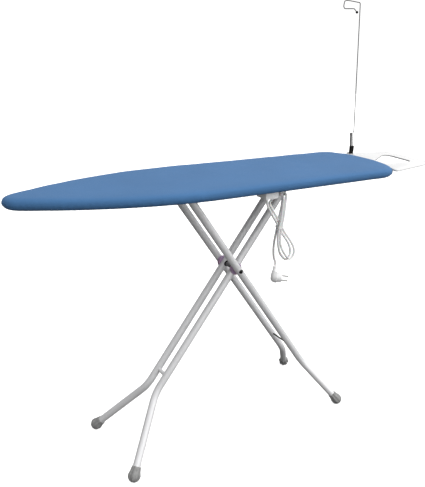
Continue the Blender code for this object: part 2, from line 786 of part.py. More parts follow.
def plug_body(frame, material):
    """Right-angle plug: round front, narrower back and a neck towards the cord."""
    pins = plug_axes()[0]
    entry = plug_entry()
    bm = bmesh.new()
    turned(bm, plug_centre() - pins * (PLUG_DEPTH / 2), pins,
           [(0.0, 0.0080), (0.0030, PLUG_BACK), (0.0100, PLUG_RADIUS), (0.0185, PLUG_RADIUS),
            (0.0195, PLUG_FACE + 0.0008), (PLUG_DEPTH - 0.0030, PLUG_FACE),
            (PLUG_DEPTH, PLUG_FACE - 0.0022)], 24)
    made = piece("plug_body", bm, material, frame)
    neck = bmesh.new()
    top = cord_end() - entry * (RELIEF_OFFSET + RELIEF_LENGTH + GAP)
    turned(neck, top, -entry, [(0.0, 0.0062), (0.006, 0.0072), (0.014, 0.0078)], 12)
    shape(made, neck, "UNION")
    wells = bmesh.new()
    for side in (-1, 1):
        pin_rod(wells, side, 0.0026, 0.004)
    shape(made, wells)


def pin_rod(bm, side, radius, sunk):
    """One rod at the place of a plug pin, sunk into the face; side +1 is the upper one."""
    pins, across, upright = plug_axes()
    spread = (upright * 0.92 - across * 0.39).normalized()
    root = plug_centre() + spread * (PIN_PITCH / 2 * side) + pins * (PLUG_DEPTH / 2)
    length = PIN_LENGTH + sunk
    turned(bm, root - pins * sunk, pins,
           [(0.0, radius), (length - 0.001, radius), (length, radius * 0.6)], 12)


def plug_pin(name, side, frame, material):
    """Round pin."""
    bm = bmesh.new()
    pin_rod(bm, side, 0.0023, 0.0035)
    piece(name, bm, material, frame)


def latch_bar(frame, material):
    """Notched bar that drops over the sliding axle."""
    bottom = AXLE_Z + AXLE_RADIUS + 0.0015
    top = bottom + 0.0125
    boss = 0.0055
    corners = [(LATCH_X + 0.0065, LATCH_Z - boss), (LATCH_X + 0.0065, LATCH_Z + boss),
               (LATCH_X - 0.016, LATCH_Z + boss), (LATCH_X - 0.026, top),
               (LATCH_HIGHEST_X - LATCH_STEP * 3 - 0.026, top),
               (LATCH_HIGHEST_X - LATCH_STEP * 3 - 0.020, bottom)]
    for k in (3, 2, 1, 0):
        notch = LATCH_HIGHEST_X - LATCH_STEP * k
        corners += [(notch - 0.0050, bottom), (notch - 0.0046, bottom + 0.0080),
                    (notch + 0.0046, bottom + 0.0080), (notch + 0.0050, bottom)]
    corners += [(LATCH_X - 0.020, bottom), (LATCH_X - 0.008, LATCH_Z - boss)]
    made = piece("latch_bar", side_profile(corners, -0.0015, 0.0015), material, frame)
    hole = bmesh.new()
    rod(hole, at(LATCH_X, -0.004, LATCH_Z), at(LATCH_X, 0.004, LATCH_Z), LATCH_RADIUS + GAP)
    shape(made, hole)


def latch_shaft(frame, material):
    """Cross shaft of the latch."""
    bm = bmesh.new()
    rod(bm, at(LATCH_X, -0.006, LATCH_Z), at(LATCH_X, 0.119, LATCH_Z), LATCH_RADIUS)
    piece("latch_shaft", bm, material, frame)


def release_lever(frame, material):
    """Hand lever under the far edge."""
    z = LATCH_Z
    x = LATCH_X
    corners = [(x + 0.0065, z - 0.005), (x + 0.0065, z + 0.005), (x - 0.010, z + 0.0055),
               (x - 0.095, z + 0.0035), (x - 0.102, z), (x - 0.100, z - 0.006), (x - 0.090, z - 0.009)]
    made = piece("release_lever", side_profile(corners, 0.108, 0.116), material, frame)
    hole = bmesh.new()
    rod(hole, at(x, 0.105, z), at(x, 0.118, z), LATCH_RADIUS + GAP)
    shape(made, hole)


def leg_point(lean, s, y):
    """Point of a leg plane; s runs down from the pivot, lean is +1 towards the tail."""
    down = Vector((lean * math.cos(LEG_ANGLE), 0.0, -math.sin(LEG_ANGLE)))
    return at(PIVOT_X, y, PIVOT_Z) + down * s


def floor_reach():
    """Distance in the leg plane from the pivot to the floor."""
    return PIVOT_Z / math.sin(LEG_ANGLE)


def leg_corners(lean, half_gap, bend, splay, side):
    """Top, bend and lower end of one leg tube."""
    end = floor_reach() - TUBE_END_Z / math.sin(LEG_ANGLE)
    spread = (end - bend) * math.tan(splay)
    return [leg_point(lean, -LEG_ARM - LEG_TOP_EXTRA, side * half_gap),
            leg_point(lean, bend, side * half_gap),
            leg_point(lean, end, side * (half_gap + spread))]


def leg_tube(name, lean, half_gap, bend, splay, side, brace, frame, material):
    """Bent steel tube with cross holes for the axle, the pivot bolt and the brace."""
    corners = leg_corners(lean, half_gap, bend, splay, side)
    path = rounded(corners, BEND_RADIUS, 5)
    made = piece(name, swept(path, [TUBE_RADIUS] * len(path), TUBE_SIDES,
                             TUBE_RADIUS - TUBE_WALL), material, frame)
    holes = bmesh.new()
    for s, radius in ((-LEG_ARM, AXLE_RADIUS), (0.0, AXLE_RADIUS)):
        rod(holes, leg_point(lean, s, side * (half_gap - 0.014)),
            leg_point(lean, s, side * (half_gap + 0.014)), radius + GAP)
    if brace:
        rod(holes, leg_point(lean, brace, side * (half_gap - 0.014)),
            leg_point(lean, brace, side * half_gap), BRACE_RADIUS + GAP)
    shape(made, holes)


def leg_foot(name, lean, half_gap, bend, splay, side, frame, material):
    """Ribbed rubber ball foot with a flat sole and a blind socket for the tube."""
    corners = leg_corners(lean, half_gap, bend, splay, side)
    end = corners[2]
    up = (corners[1] - end).normalized()
    floor = end - up * (end.z / up.z)
    lap = (end - floor).length - GAP
    side_axis = up.orthogonal().normalized()
    cross = up.cross(side_axis)
    sides = 16
    bore = TUBE_RADIUS + GAP
    profile = []
    for degrees, rib in ((165, 0.0), (140, 0.5), (115, 1.0), (90, 1.0), (65, 1.0)):
        angle = math.radians(degrees)
        profile.append((FOOT_CENTRE + FOOT_RADIUS * math.cos(angle),
                        FOOT_RADIUS * math.sin(angle), rib, 0.0))
    profile += [(0.041, 0.0143, 1.0, 0.5), (0.047, 0.0130, 0.5, 1.0)]
    rings = []
    for t, radius, rib, petal in profile:
        ring = []
        for k in range(sides):
            angle = 2 * math.pi * k / sides
            odd = k % 2
            reach = radius * (1.0 - 0.045 * rib * odd)
            height = t + 0.004 * petal * (0.5 - odd)
            ring.append(floor + up * height
                        + (side_axis * math.cos(angle) + cross * math.sin(angle)) * reach)
        rings.append(ring)
    rings.append(circle(floor + up * 0.048, side_axis, cross, bore, sides))
    rings.append(circle(floor + up * lap, side_axis, cross, bore, sides))
    bm = solid(rings)
    parts = bm.verts[:] + bm.edges[:] + bm.faces[:]
    result = bmesh.ops.bisect_plane(bm, geom=parts, plane_co=Vector(), plane_no=-Z_AXIS,
                                    clear_outer=True)
    rim = [part for part in result["geom_cut"] if isinstance(part, bmesh.types.BMEdge)]
    bmesh.ops.edgeloop_fill(bm, edges=rim)
    piece(name, bm, material, frame, 50.0)


def cross_axle(name, x, half_length, frame, material):
    """Straight axle across the board."""
    bm = bmesh.new()
    rod(bm, at(x, -half_length, AXLE_Z), at(x, half_length, AXLE_Z), AXLE_RADIUS)
    piece(name, bm, material, frame)


def axle_cap(name, side, frame, material):
    """Push-on cap outside a leg tube, with a blind bore for the axle."""
    bm = bmesh.new()
    bore = AXLE_RADIUS + GAP
    turned(bm, at(AXLE_A_X, side * (LEG_A_Y + TUBE_RADIUS + GAP), AXLE_Z), Y_AXIS * side,
           [(CAP_DEPTH, bore), (0.0, bore), (0.0, 0.0078), (0.0050, 0.0078), (0.0065, 0.0060)], 16)
    piece(name, bm, material, frame)


def pivot_spacer(name, side, frame, material):
    """Plastic disc between the crossing tubes, saddled on the inner tube."""
    bm = bmesh.new()
    start = leg_point(1, 0.0, side * 0.0285)
    rod(bm, start, leg_point(1, 0.0, side * 0.0381), 0.0185, 20)
    made = piece(name, bm, material, frame)
    tube = bmesh.new()
    rod(tube, leg_point(-1, -0.030, side * LEG_B_Y), leg_point(-1, 0.030, side * LEG_B_Y),
        TUBE_RADIUS + GAP, 24)
    shape(made, tube)
    hole = bmesh.new()
    rod(hole, leg_point(1, 0.0, side * 0.0200), leg_point(1, 0.0, side * 0.0400),
        AXLE_RADIUS + GAP)
    shape(made, hole)


def pivot_ring(name, y0, y1, radius, frame, material):
    """Ring round the pivot bolt."""
    bm = bmesh.new()
    rod(bm, leg_point(1, 0.0, y0), leg_point(1, 0.0, y1), radius, 16, AXLE_RADIUS + GAP)
    piece(name, bm, material, frame)


def pivot_bolt(frame, material):
    """Bolt through all four tubes, with a slotted head on the near side."""
    bm = bmesh.new()
    face = LEG_A_Y + TUBE_RADIUS + GAP
    turned(bm, leg_point(1, 0.0, -face - 0.0026), Y_AXIS,
           [(0.0, 0.0045), (0.0010, 0.0062), (0.0026, 0.0066), (0.0026, AXLE_RADIUS),
            (face * 2 + 0.0110, AXLE_RADIUS)], 16)
    made = piece("pivot_bolt", bm, material, frame)
    slot = bmesh.new()
    centre = leg_point(1, 0.0, -face - 0.0026)
    along = (leg_point(-1, 1.0, 0.0) - leg_point(-1, 0.0, 0.0)) * 0.0034
    wide = along.cross(Y_AXIS).normalized() * 0.0010
    outline = [centre - along - wide, centre + along - wide, centre + along + wide,
               centre - along + wide]
    prism(slot, [point - Y_AXIS * 0.002 for point in outline], Y_AXIS * 0.0035)
    shape(made, slot)


def pivot_nut(frame, material):
    """Hexagon nut on the far end of the bolt."""
    bm = bmesh.new()
    face = LEG_A_Y + TUBE_RADIUS + GAP
    rod(bm, leg_point(1, 0.0, face), leg_point(1, 0.0, face + 0.0062), 0.0072, 6)
    made = piece("pivot_nut", bm, material, frame, 20.0)
    hole = bmesh.new()
    rod(hole, leg_point(1, 0.0, face - 0.002), leg_point(1, 0.0, face + 0.010),
        AXLE_RADIUS + GAP)
    shape(made, hole)


def leg_a_brace(frame, material):
    """Thin rod between the outer tubes."""
    bm = bmesh.new()
    end = LEG_A_Y - 0.004
    rod(bm, leg_point(1, LEG_A_BRACE, -end), leg_point(1, LEG_A_BRACE, end), BRACE_RADIUS)
    piece("leg_a_brace", bm, material, frame)


def leg_b_brace(frame, material):
    """Short stub between the inner tubes, coped to fit them."""
    bm = bmesh.new()
    rod(bm, leg_point(-1, LEG_B_BRACE, -LEG_B_Y + 0.002),
        leg_point(-1, LEG_B_BRACE, LEG_B_Y - 0.002), 0.006)
    made = piece("leg_b_brace", bm, material, frame)
    tubes = bmesh.new()
    for side in (-1, 1):
        rod(tubes, leg_point(-1, LEG_B_BRACE - 0.020, side * LEG_B_Y),
            leg_point(-1, LEG_B_BRACE + 0.020, side * LEG_B_Y), TUBE_RADIUS + GAP, 24)
    shape(made, tubes)


def build_board(frame, looks):
    """Everything fixed to the ironing surface."""
    steel = looks["steel"]
    white = looks["white"]
    fabric_cover(frame, looks["fabric"])
    felt_pad(frame, looks["felt"])
    deck_plate(frame, steel)
    rim_tube("rim_frame", COVER_EDGE, RIM_Z, RIM_RADIUS, 7, frame, steel)
    rim_tube("hem_cord", HEM_INSET + 0.0022, HEM_Z + 0.0005, HEM_CORD_RADIUS, 5, frame,
             looks["cord"])
    cord_lock(frame, looks["black"])
    cross_bar("cross_bar_front", 0.262, 0.1010, frame, steel)
    cross_bar("cross_bar_middle", LATCH_X, 0.1380, frame, steel)
    cross_bar("cross_bar_rear", AXLE_B_X, 0.1380, frame, steel)
    tail = {"pad_half": 0.110, "pad_bottom": 0.7918}
    for name, x in (("cross_bar_tail_front", 1.030), ("cross_bar_tail_back", 1.090)):
        made = cross_bar(name, x, 0.1380, frame, steel, **tail)
        holes = bmesh.new()
        for y in (-ARM_Y, ARM_Y):
            rod(holes, at(x, y, 0.7900), at(x, y, 0.8020), 0.0023)
        shape(made, holes)
    height_rail("height_rail_left", 1, frame, steel)
    height_rail("height_rail_right", -1, frame, steel)
    fork("rear_bracket", AXLE_B_X, 0.013, -0.0130, 0.0130, 0.7735, AXLE_Z,
         AXLE_RADIUS + GAP, frame, steel)
    fork("latch_bracket", LATCH_X, 0.010, 0.0400, 0.0620, 0.7830, LATCH_Z,
         LATCH_RADIUS + GAP, frame, steel)
    rest_arm("rest_arm_left", 1, frame, looks["arm"])
    rest_arm("rest_arm_right", -1, frame, looks["arm"])
    rest_screws(frame, looks["bolt"])
    iron_rest(frame, looks["rest"])
    holder_clamp(frame, looks["black"])
    clamp_screw(frame, looks["black"])
    socket_bracket(frame, steel)
    socket_housing(frame, white)
    socket_insert(frame, looks["insert"])
    mains_cord(frame, looks["cord"])
    cord_tie(frame, white)
    strain_relief(frame, white)
    plug_body(frame, white)
    plug_pin("plug_pin_upper", 1, frame, looks["bolt"])
    plug_pin("plug_pin_lower", -1, frame, looks["bolt"])


def build_leg_b(frame, looks):
    """Inner leg pair on the fixed axle."""
    for word, side in (("left", 1), ("right", -1)):
        leg_tube(f"leg_b_tube_{word}", -1, LEG_B_Y, LEG_B_BEND, LEG_B_SPLAY, side, 0.0,
                 frame, looks["leg"])
        leg_foot(f"foot_b_{word}", -1, LEG_B_Y, LEG_B_BEND, LEG_B_SPLAY, side, frame,
                 looks["rubber"])
        pivot_spacer(f"pivot_spacer_{word}", side, frame, looks["mauve"])
    cross_axle("leg_b_axle", AXLE_B_X, LEG_B_Y + TUBE_RADIUS + GAP, frame, looks["bolt"])
    leg_b_brace(frame, looks["leg"])
    pivot_ring("pivot_sleeve", -0.0142, 0.0115, 0.0070, frame, looks["sleeve"])
    pivot_ring("pivot_washer", 0.0118, 0.0142, 0.0095, frame, looks["black"])


def build_leg_a(frame, looks):
    """Outer leg pair with the sliding axle."""
    for word, side in (("left", 1), ("right", -1)):
        leg_tube(f"leg_a_tube_{word}", 1, LEG_A_Y, LEG_A_BEND, LEG_A_SPLAY, side,
                 LEG_A_BRACE, frame, looks["leg"])
        leg_foot(f"foot_a_{word}", 1, LEG_A_Y, LEG_A_BEND, LEG_A_SPLAY, side, frame,
                 looks["rubber"])
        axle_cap(f"axle_cap_{word}", side, frame, looks["black"])
    cross_axle("leg_a_axle", AXLE_A_X, LEG_A_Y + TUBE_RADIUS + CAP_DEPTH - GAP, frame,
               looks["bolt"])
    leg_a_brace(frame, looks["sleeve"])
    pivot_bolt(frame, looks["bolt"])
    pivot_nut(frame, looks["bolt"])


def build():
    """Draws the whole board, body by body."""
    looks = {
        "fabric": look("blue_fabric", (0.130, 0.255, 0.450), 0.90),
        "felt": look("grey_felt", (0.55, 0.54, 0.50), 0.95),
        "steel": look("galvanised_steel", (0.55, 0.56, 0.57), 0.40, 0.90),
        "leg": look("silver_grey_paint", (0.66, 0.66, 0.67), 0.35, 0.25),
        "bolt": look("zinc_steel", (0.62, 0.62, 0.60), 0.30, 1.0),
        "rest": look("white_painted_plate", (0.85, 0.85, 0.84), 0.35),
        "arm": look("white_painted_bar", (0.80, 0.80, 0.80), 0.40),
        "white": look("white_plastic", (0.83, 0.82, 0.84), 0.40),
        "insert": look("pale_plastic", (0.72, 0.71, 0.73), 0.45),
        "cord": look("white_cord", (0.86, 0.86, 0.85), 0.50),
        "black": look("black_plastic", (0.012, 0.012, 0.013), 0.40),
        "sleeve": look("dark_sleeve", (0.07, 0.07, 0.075), 0.45),
        "mauve": look("mauve_plastic", (0.40, 0.27, 0.40), 0.35),
        "rubber": look("grey_rubber", (0.28, 0.28, 0.27), 0.75),
    }
    board = body_frame("board_frame", Vector())
    build_board(board, looks)
    holder = body_frame("holder_frame", at(HOLDER_X, HOLDER_Y, REST_TOP), board)
    holder_wire(holder, look("bright_wire", (0.50, 0.50, 0.50), 0.25, 1.0))
    holder_sleeve(holder, looks["sleeve"])
    holder_tip(holder, looks["black"])
    latch = body_frame("latch_frame", at(LATCH_X, 0.0, LATCH_Z), board)
    latch_bar(latch, looks["steel"])
    latch_shaft(latch, looks["bolt"])
    release_lever(latch, looks["black"])
    leg_b = body_frame("leg_b_frame", at(AXLE_B_X, 0.0, AXLE_Z), board)
    build_leg_b(leg_b, looks)
    build_leg_a(body_frame("leg_a_frame", at(PIVOT_X, 0.0, PIVOT_Z), leg_b), looks)


build()
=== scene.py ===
import json
import math

import bmesh
import bpy
import numpy as np
from mathutils import Matrix, Vector, noise
from mathutils.bvhtree import BVHTree


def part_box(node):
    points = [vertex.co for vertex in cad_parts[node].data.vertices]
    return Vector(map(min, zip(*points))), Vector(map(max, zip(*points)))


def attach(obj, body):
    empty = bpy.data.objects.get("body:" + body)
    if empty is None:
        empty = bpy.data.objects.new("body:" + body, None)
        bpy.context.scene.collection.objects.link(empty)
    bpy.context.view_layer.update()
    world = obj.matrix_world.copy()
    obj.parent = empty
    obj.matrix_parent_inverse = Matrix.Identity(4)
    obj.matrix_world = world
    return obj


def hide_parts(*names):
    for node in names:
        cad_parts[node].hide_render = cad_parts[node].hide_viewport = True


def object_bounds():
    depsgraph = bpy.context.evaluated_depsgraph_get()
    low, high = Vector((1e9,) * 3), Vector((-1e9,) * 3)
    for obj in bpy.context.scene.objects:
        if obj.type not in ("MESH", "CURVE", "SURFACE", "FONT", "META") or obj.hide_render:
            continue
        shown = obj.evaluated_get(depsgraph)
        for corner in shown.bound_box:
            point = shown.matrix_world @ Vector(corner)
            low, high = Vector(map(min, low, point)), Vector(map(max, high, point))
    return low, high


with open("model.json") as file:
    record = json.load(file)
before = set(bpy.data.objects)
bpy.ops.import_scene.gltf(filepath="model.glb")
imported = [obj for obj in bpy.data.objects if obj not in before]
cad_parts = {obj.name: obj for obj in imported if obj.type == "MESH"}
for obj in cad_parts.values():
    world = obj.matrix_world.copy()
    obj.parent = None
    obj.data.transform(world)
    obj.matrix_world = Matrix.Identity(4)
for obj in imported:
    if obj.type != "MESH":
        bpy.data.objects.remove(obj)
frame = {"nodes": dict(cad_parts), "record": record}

CAD_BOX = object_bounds()
NODES = frame["nodes"]
RECORD = frame["record"]
Z_AXIS = Vector((0.0, 0.0, 1.0))

# Camera; x counts from the nose tip.
CAMERA_FROM_NOSE = Vector((-0.31613, -1.35523, 1.20403))
CAMERA_YAW = math.radians(33.7806)
CAMERA_PITCH = math.radians(19.8516)
CAMERA_ROLL = math.radians(2.5758)
CAMERA_LENS = 43.80
SENSOR_WIDTH = 36.0

# Studio light.
LIGHT_SIDE = Vector((0.66, -0.42, 0.62)).normalized()
WORLD_DARK = 0.03
WORLD_BRIGHT = 1.80
BACKDROP = 1.05
KEY_POWER = 14.0
KEY_SIZE = (2.2, 1.6)
KEY_PLACE = Vector((1.7, -1.1, 2.6))
KEY_TARGET = Vector((0.0, 0.0, 0.6))
FLOOR_HALF = 9.0
FLOOR_GAP = 0.0004
FLOOR_SEEN = 0.60
FLOOR_GLOW = 0.80
FLOOR_BOUNCE = 0.10

# Ironing surface, as in the CAD.
COVER_LOW, COVER_HIGH = (Vector(corner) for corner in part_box("fabric_cover"))
BOARD_LENGTH = COVER_HIGH.x - COVER_LOW.x
BOARD_HALF = COVER_HIGH.y
BOARD_TOP = COVER_HIGH.z
HEM_Z = COVER_LOW.z
NOSE_X = COVER_LOW.x
NOSE_RADIUS = 0.040
FLANK_END_X = 0.530
CORNER_RADIUS = 0.085
TAIL_RADIUS = 0.300
EDGE_RADIUS = (BOARD_TOP - HEM_Z) / 2
HEM_INSET = 0.030
FABRIC_THICK = 0.0008

# Cloth pass of the cover.
FORM_RINGS = 12
START_INSET = 0.0004
VOXEL = 0.006
CLOTH_FRAMES = 20
CLOTH_QUALITY = 5
PRESSURE = 4.0
CLOTH_CAP = 0.0022
UNDERSIDE_Z = BOARD_TOP - EDGE_RADIUS * 1.3

# Hem, stitches and pad.
HEM_LIFT = 0.0004
GATHER_PITCH = 0.0125
GATHER_DEPTH = 0.0016
TOP_UNEVEN = 0.0005
STITCH_INSET = 0.0235
STITCH_PITCH = 0.0052
STITCH_SHARE = 0.66
STITCH_RADIUS = 0.00028
PAD_GAP = 0.0030
PAD_RINGS = 6
PAD_FRAY = 0.0004

# Legs, as in the CAD.
TUBE_RADIUS = 0.011
TUBE_BORE = 0.0098
TUBE_TOP_EXTRA = 0.009
TUBE_END_Z = 0.0125
BEND_RADIUS = 0.110
LEG_A = {"lean": 1, "gap": 0.0495, "bend": 0.484, "splay": math.radians(30.0)}
LEG_B = {"lean": -1, "gap": 0.0255, "bend": 0.440, "splay": math.radians(28.0)}
TUBE_LIP = 0.0004
TUBE_LIP_LENGTH = 0.0005
TUBE_SIDES = 32
FOOT_CENTRE = 0.0237
FOOT_RADIUS = 0.0183
FOOT_SIDES = 96
FOOT_RIBS = 8
RIB_DEPTH = 0.095
PETAL_HEIGHT = 0.0036

# Finish of the carried-over nodes.
WELD_DISTANCE = 0.00001
BEVEL = 0.0003
BEVEL_SEGMENTS = 2
BEVEL_ANGLE = math.radians(38.0)


# ---------------------------------------------------------------- materials

class Look:
    """A Principled material built up node by node."""

    def __init__(self, name, roughness, metallic=0.0, **inputs):
        self.material = bpy.data.materials.new(name)
        self.material.use_nodes = True
        self.tree = self.material.node_tree
        self.shader = self.tree.nodes["Principled BSDF"]
        self.coord = self.node("ShaderNodeTexCoord").outputs["Object"]
        self.shader.inputs["Roughness"].default_value = roughness
        self.shader.inputs["Metallic"].default_value = metallic
        for key, value in inputs.items():
            self.shader.inputs[key.replace("_", " ")].default_value = value

    def node(self, kind, **values):
        made = self.tree.nodes.new(kind)
        for key, value in values.items():
            setattr(made, key, value)
        return made

    def join(self, out, into):
        self.tree.links.new(out, into)

    def math(self, operation, first, second=0.0):
        made = self.node("ShaderNodeMath", operation=operation)
        for socket, value in zip(made.inputs, (first, second)):
            if isinstance(value, (int, float)):
                socket.default_value = value
            else:
                self.join(value, socket)
        return made.outputs[0]

    def noise(self, scale, detail=3.0, stretch=(1.0, 1.0, 1.0)):
        mapping = self.node("ShaderNodeMapping")
        mapping.inputs["Scale"].default_value = stretch
        self.join(self.coord, mapping.inputs["Vector"])
        made = self.node("ShaderNodeTexNoise")
        made.inputs["Scale"].default_value = scale
        made.inputs["Detail"].default_value = detail
        self.join(mapping.outputs[0], made.inputs["Vector"])
        return made.outputs["Fac"]

    def cells(self, scale):
        made = self.node("ShaderNodeTexVoronoi")
        made.inputs["Scale"].default_value = scale
        self.join(self.coord, made.inputs["Vector"])
        return made

    def spread(self, value, low, high, start=0.3, end=0.7):
        made = self.node("ShaderNodeMapRange")
        made.inputs["From Min"].default_value = start
        made.inputs["From Max"].default_value = end
        made.inputs["To Min"].default_value = low
        made.inputs["To Max"].default_value = high
        self.join(value, made.inputs["Value"])
        return made.outputs[0]

    def mix(self, factor, first, second):
        made = self.node("ShaderNodeMix", data_type="RGBA")
        colours = [socket for socket in made.inputs if socket.type == "RGBA"]
        for socket, value in zip(colours, (first, second)):
            if isinstance(value, tuple):
                socket.default_value = (*value, 1.0)
            else:
                self.join(value, socket)
        self.join(factor, made.inputs[0])
        return [socket for socket in made.outputs if socket.type == "RGBA"][0]

    def edge_highlight(self, colour, edge_light, start=0.53, end=0.58, amount=0.6):
        """Mixes in a lighter colour where the surface is convex: a painted highlight on the edges.
        """
        edge = self.node("ShaderNodeNewGeometry").outputs["Pointiness"]
        return self.mix(self.spread(edge, 0.0, amount, start, end), colour, edge_light)

    def bump(self, height, distance, strength=0.6):
        made = self.node("ShaderNodeBump")
        made.inputs["Distance"].default_value = distance
        made.inputs["Strength"].default_value = strength
        self.join(height, made.inputs["Height"])
        if self.shader.inputs["Normal"].is_linked:
            self.join(self.shader.inputs["Normal"].links[0].from_socket, made.inputs["Normal"])
        self.join(made.outputs[0], self.shader.inputs["Normal"])

    def colour(self, out):
        self.join(out, self.shader.inputs["Base Color"])

    def roughness(self, out):
        self.join(out, self.shader.inputs["Roughness"])


def shade(colour, factor):
    """A colour made lighter or darker."""
    return tuple(min(part * factor, 1.0) for part in colour)


def fabric_look(name, colour):
    """Plain-weave cotton: crossing threads, uneven dye and a soft sheen."""
    look = Look(name, 0.88, Specular_IOR_Level=0.2, Sheen_Weight=0.05,
                Sheen_Roughness=0.55)
    split = look.node("ShaderNodeSeparateXYZ")
    look.join(look.coord, split.inputs[0])
    threads = []
    for axis in (0, 1):
        along = look.math("ADD", split.outputs[axis], split.outputs[2])
        turns = look.math("MULTIPLY", along, math.pi / 0.0011)
        threads.append(look.math("SINE", turns))
    crossing = look.math("MULTIPLY", threads[0], threads[1])
    relief = look.math("ABSOLUTE", look.math("ADD", threads[0], crossing))
    slub = look.noise(260.0, 2.0, (1.0, 7.0, 1.0))
    cloud = look.noise(7.0, 4.0)
    base = look.mix(look.spread(cloud, 0.0, 1.0), shade(colour, 0.94), shade(colour, 1.05))
    thread = look.mix(look.spread(slub, 0.0, 0.30), base, shade(colour, 1.25))
    look.colour(look.mix(look.spread(crossing, 0.0, 0.16, -1.0, 1.0), thread, shade(colour, 0.72)))
    look.roughness(look.spread(slub, 0.82, 0.94))
    look.bump(look.noise(38.0, 3.0), 0.0006, 0.35)
    look.bump(relief, 0.00012, 0.5)
    return look.material


def felt_look():
    """Needled felt: matted fibres in two sizes."""
    look = Look("needled_felt", 0.97, Sheen_Weight=0.4)
    fibres = look.noise(900.0, 5.0, (1.0, 4.0, 1.0))
    tufts = look.noise(120.0, 4.0)
    base = look.mix(look.spread(tufts, 0.0, 1.0), (0.44, 0.43, 0.40), (0.62, 0.61, 0.57))
    look.colour(look.mix(look.spread(fibres, 0.0, 0.5), base, (0.75, 0.74, 0.70)))
    look.bump(tufts, 0.0010, 0.5)
    look.bump(fibres, 0.0003, 0.7)
    return look.material


def steel_look():
    """Galvanised sheet: zinc spangle with dull and bright grains."""
    look = Look("galvanised_steel", 0.4, 0.9)
    grains = look.cells(190.0)
    tone = look.node("ShaderNodeRGBToBW")
    look.join(grains.outputs["Color"], tone.inputs[0])
    base = look.mix(tone.outputs[0], (0.42, 0.43, 0.44), (0.66, 0.67, 0.68))
    # Convex edges are painted a lighter grey: a painted highlight.
    look.colour(look.edge_highlight(base, (0.80, 0.80, 0.79)))
    look.roughness(look.spread(tone.outputs[0], 0.30, 0.52, 0.0, 1.0))
    look.bump(look.noise(60.0, 2.0), 0.0004, 0.25)
    look.bump(grains.outputs["Distance"], 0.00005, 0.3)
    return look.material


def coat_look(name, colour, roughness, metallic=0.0, peel=420.0, edge_light=1.15, **inputs):
    """Powder coat: orange-peel skin, slight tone drift, painted highlight on convex edges."""
    look = Look(name, roughness, metallic, **inputs)
    drift = look.noise(9.0, 3.0)
    base = look.mix(look.spread(drift, 0.0, 1.0), shade(colour, 0.965), shade(colour, 1.02))
    fleck = look.mix(look.spread(look.noise(2600.0, 1.0), 0.0, 0.25, 0.55, 0.70), base,
                     shade(colour, 1.12))
    # Convex edges are painted lighter: a painted highlight.
    look.colour(look.edge_highlight(fleck, shade(colour, edge_light)))
    look.roughness(look.spread(look.noise(45.0, 3.0), roughness - 0.05, roughness + 0.07))
    look.bump(look.noise(peel, 2.0), 0.00012, 0.35)
    return look.material


def zinc_look(name, colour, roughness, stretch):
    """Bright metal with fine drawn lines."""
    look = Look(name, roughness, 1.0)
    lines = look.noise(700.0, 4.0, stretch)
    # Drawn lines, with a painted highlight on convex edges.
    look.colour(look.edge_highlight(look.mix(look.spread(lines, 0.0, 1.0), shade(colour, 0.80),
                                   shade(colour, 1.12)), shade(colour, 1.3)))
    look.roughness(look.spread(look.noise(80.0, 3.0), roughness - 0.06, roughness + 0.10))
    look.bump(lines, 0.00003, 0.4)
    return look.material


def plastic_look(name, colour, roughness, spark=1800.0, edge_light=1.2, **inputs):
    """Moulded plastic: spark-eroded grain, faint flow marks, painted highlight on convex edges."""
    look = Look(name, roughness, 0.0, **inputs)
    flow = look.noise(16.0, 3.0, (1.0, 1.0, 2.5))
    base = look.mix(look.spread(flow, 0.0, 1.0), shade(colour, 0.95), shade(colour, 1.03))
    # Convex edges are painted lighter: a painted highlight.
    look.colour(look.edge_highlight(base, shade(colour, edge_light), amount=0.5))
    look.roughness(look.spread(look.noise(70.0, 3.0), roughness - 0.05, roughness + 0.08))
    look.bump(look.noise(spark, 2.0), 0.00006, 0.35)
    return look.material


def rubber_look():
    """Matt rubber with a dusty bloom and a scuffed sole."""
    colour = (0.27, 0.27, 0.267)
    look = Look("grey_rubber", 0.75)
    bloom = look.noise(110.0, 4.0)
    base = look.mix(look.spread(bloom, 0.0, 1.0), shade(colour, 0.82), shade(colour, 1.16))
    split = look.node("ShaderNodeSeparateXYZ")
    look.join(look.coord, split.inputs[0])
    scuff = look.spread(split.outputs[2], 0.45, 0.0, 0.0, 0.012)
    # Painted highlight on convex edges; the lighter band near the floor is a scuffed sole.
    look.colour(look.edge_highlight(look.mix(scuff, base, (0.36, 0.35, 0.33)), shade(colour, 1.4)))
    look.roughness(look.spread(bloom, 0.66, 0.86))
    look.bump(look.noise(900.0, 3.0), 0.0001, 0.5)
    return look.material


def braid_look():
    """Braided drawcord: two crossing sets of strands, with painted shade in the grooves between
    them.
    """
    look = Look("braided_cord", 0.8, Sheen_Weight=0.2)
    split = look.node("ShaderNodeSeparateXYZ")
    look.join(look.coord, split.inputs[0])
    flat = look.math("ADD", split.outputs[0], split.outputs[1])
    sets = []
    for sign in (1.0, -1.0):
        slope = look.math("ADD", flat, look.math("MULTIPLY", split.outputs[2], sign * 1.6))
        sets.append(look.math("SINE", look.math("MULTIPLY", slope, math.pi / 0.0007)))
    strands = look.math("MAXIMUM", sets[0], sets[1])
    # Painted shade: the grooves between strands are coloured a darker grey.
    look.colour(look.mix(look.spread(strands, 0.0, 1.0, -0.2, 0.9), (0.52, 0.53, 0.54),
                         (0.84, 0.84, 0.83)))
    look.bump(strands, 0.0002, 0.7)
    return look.material


BLUE = (0.0515, 0.145, 0.308)


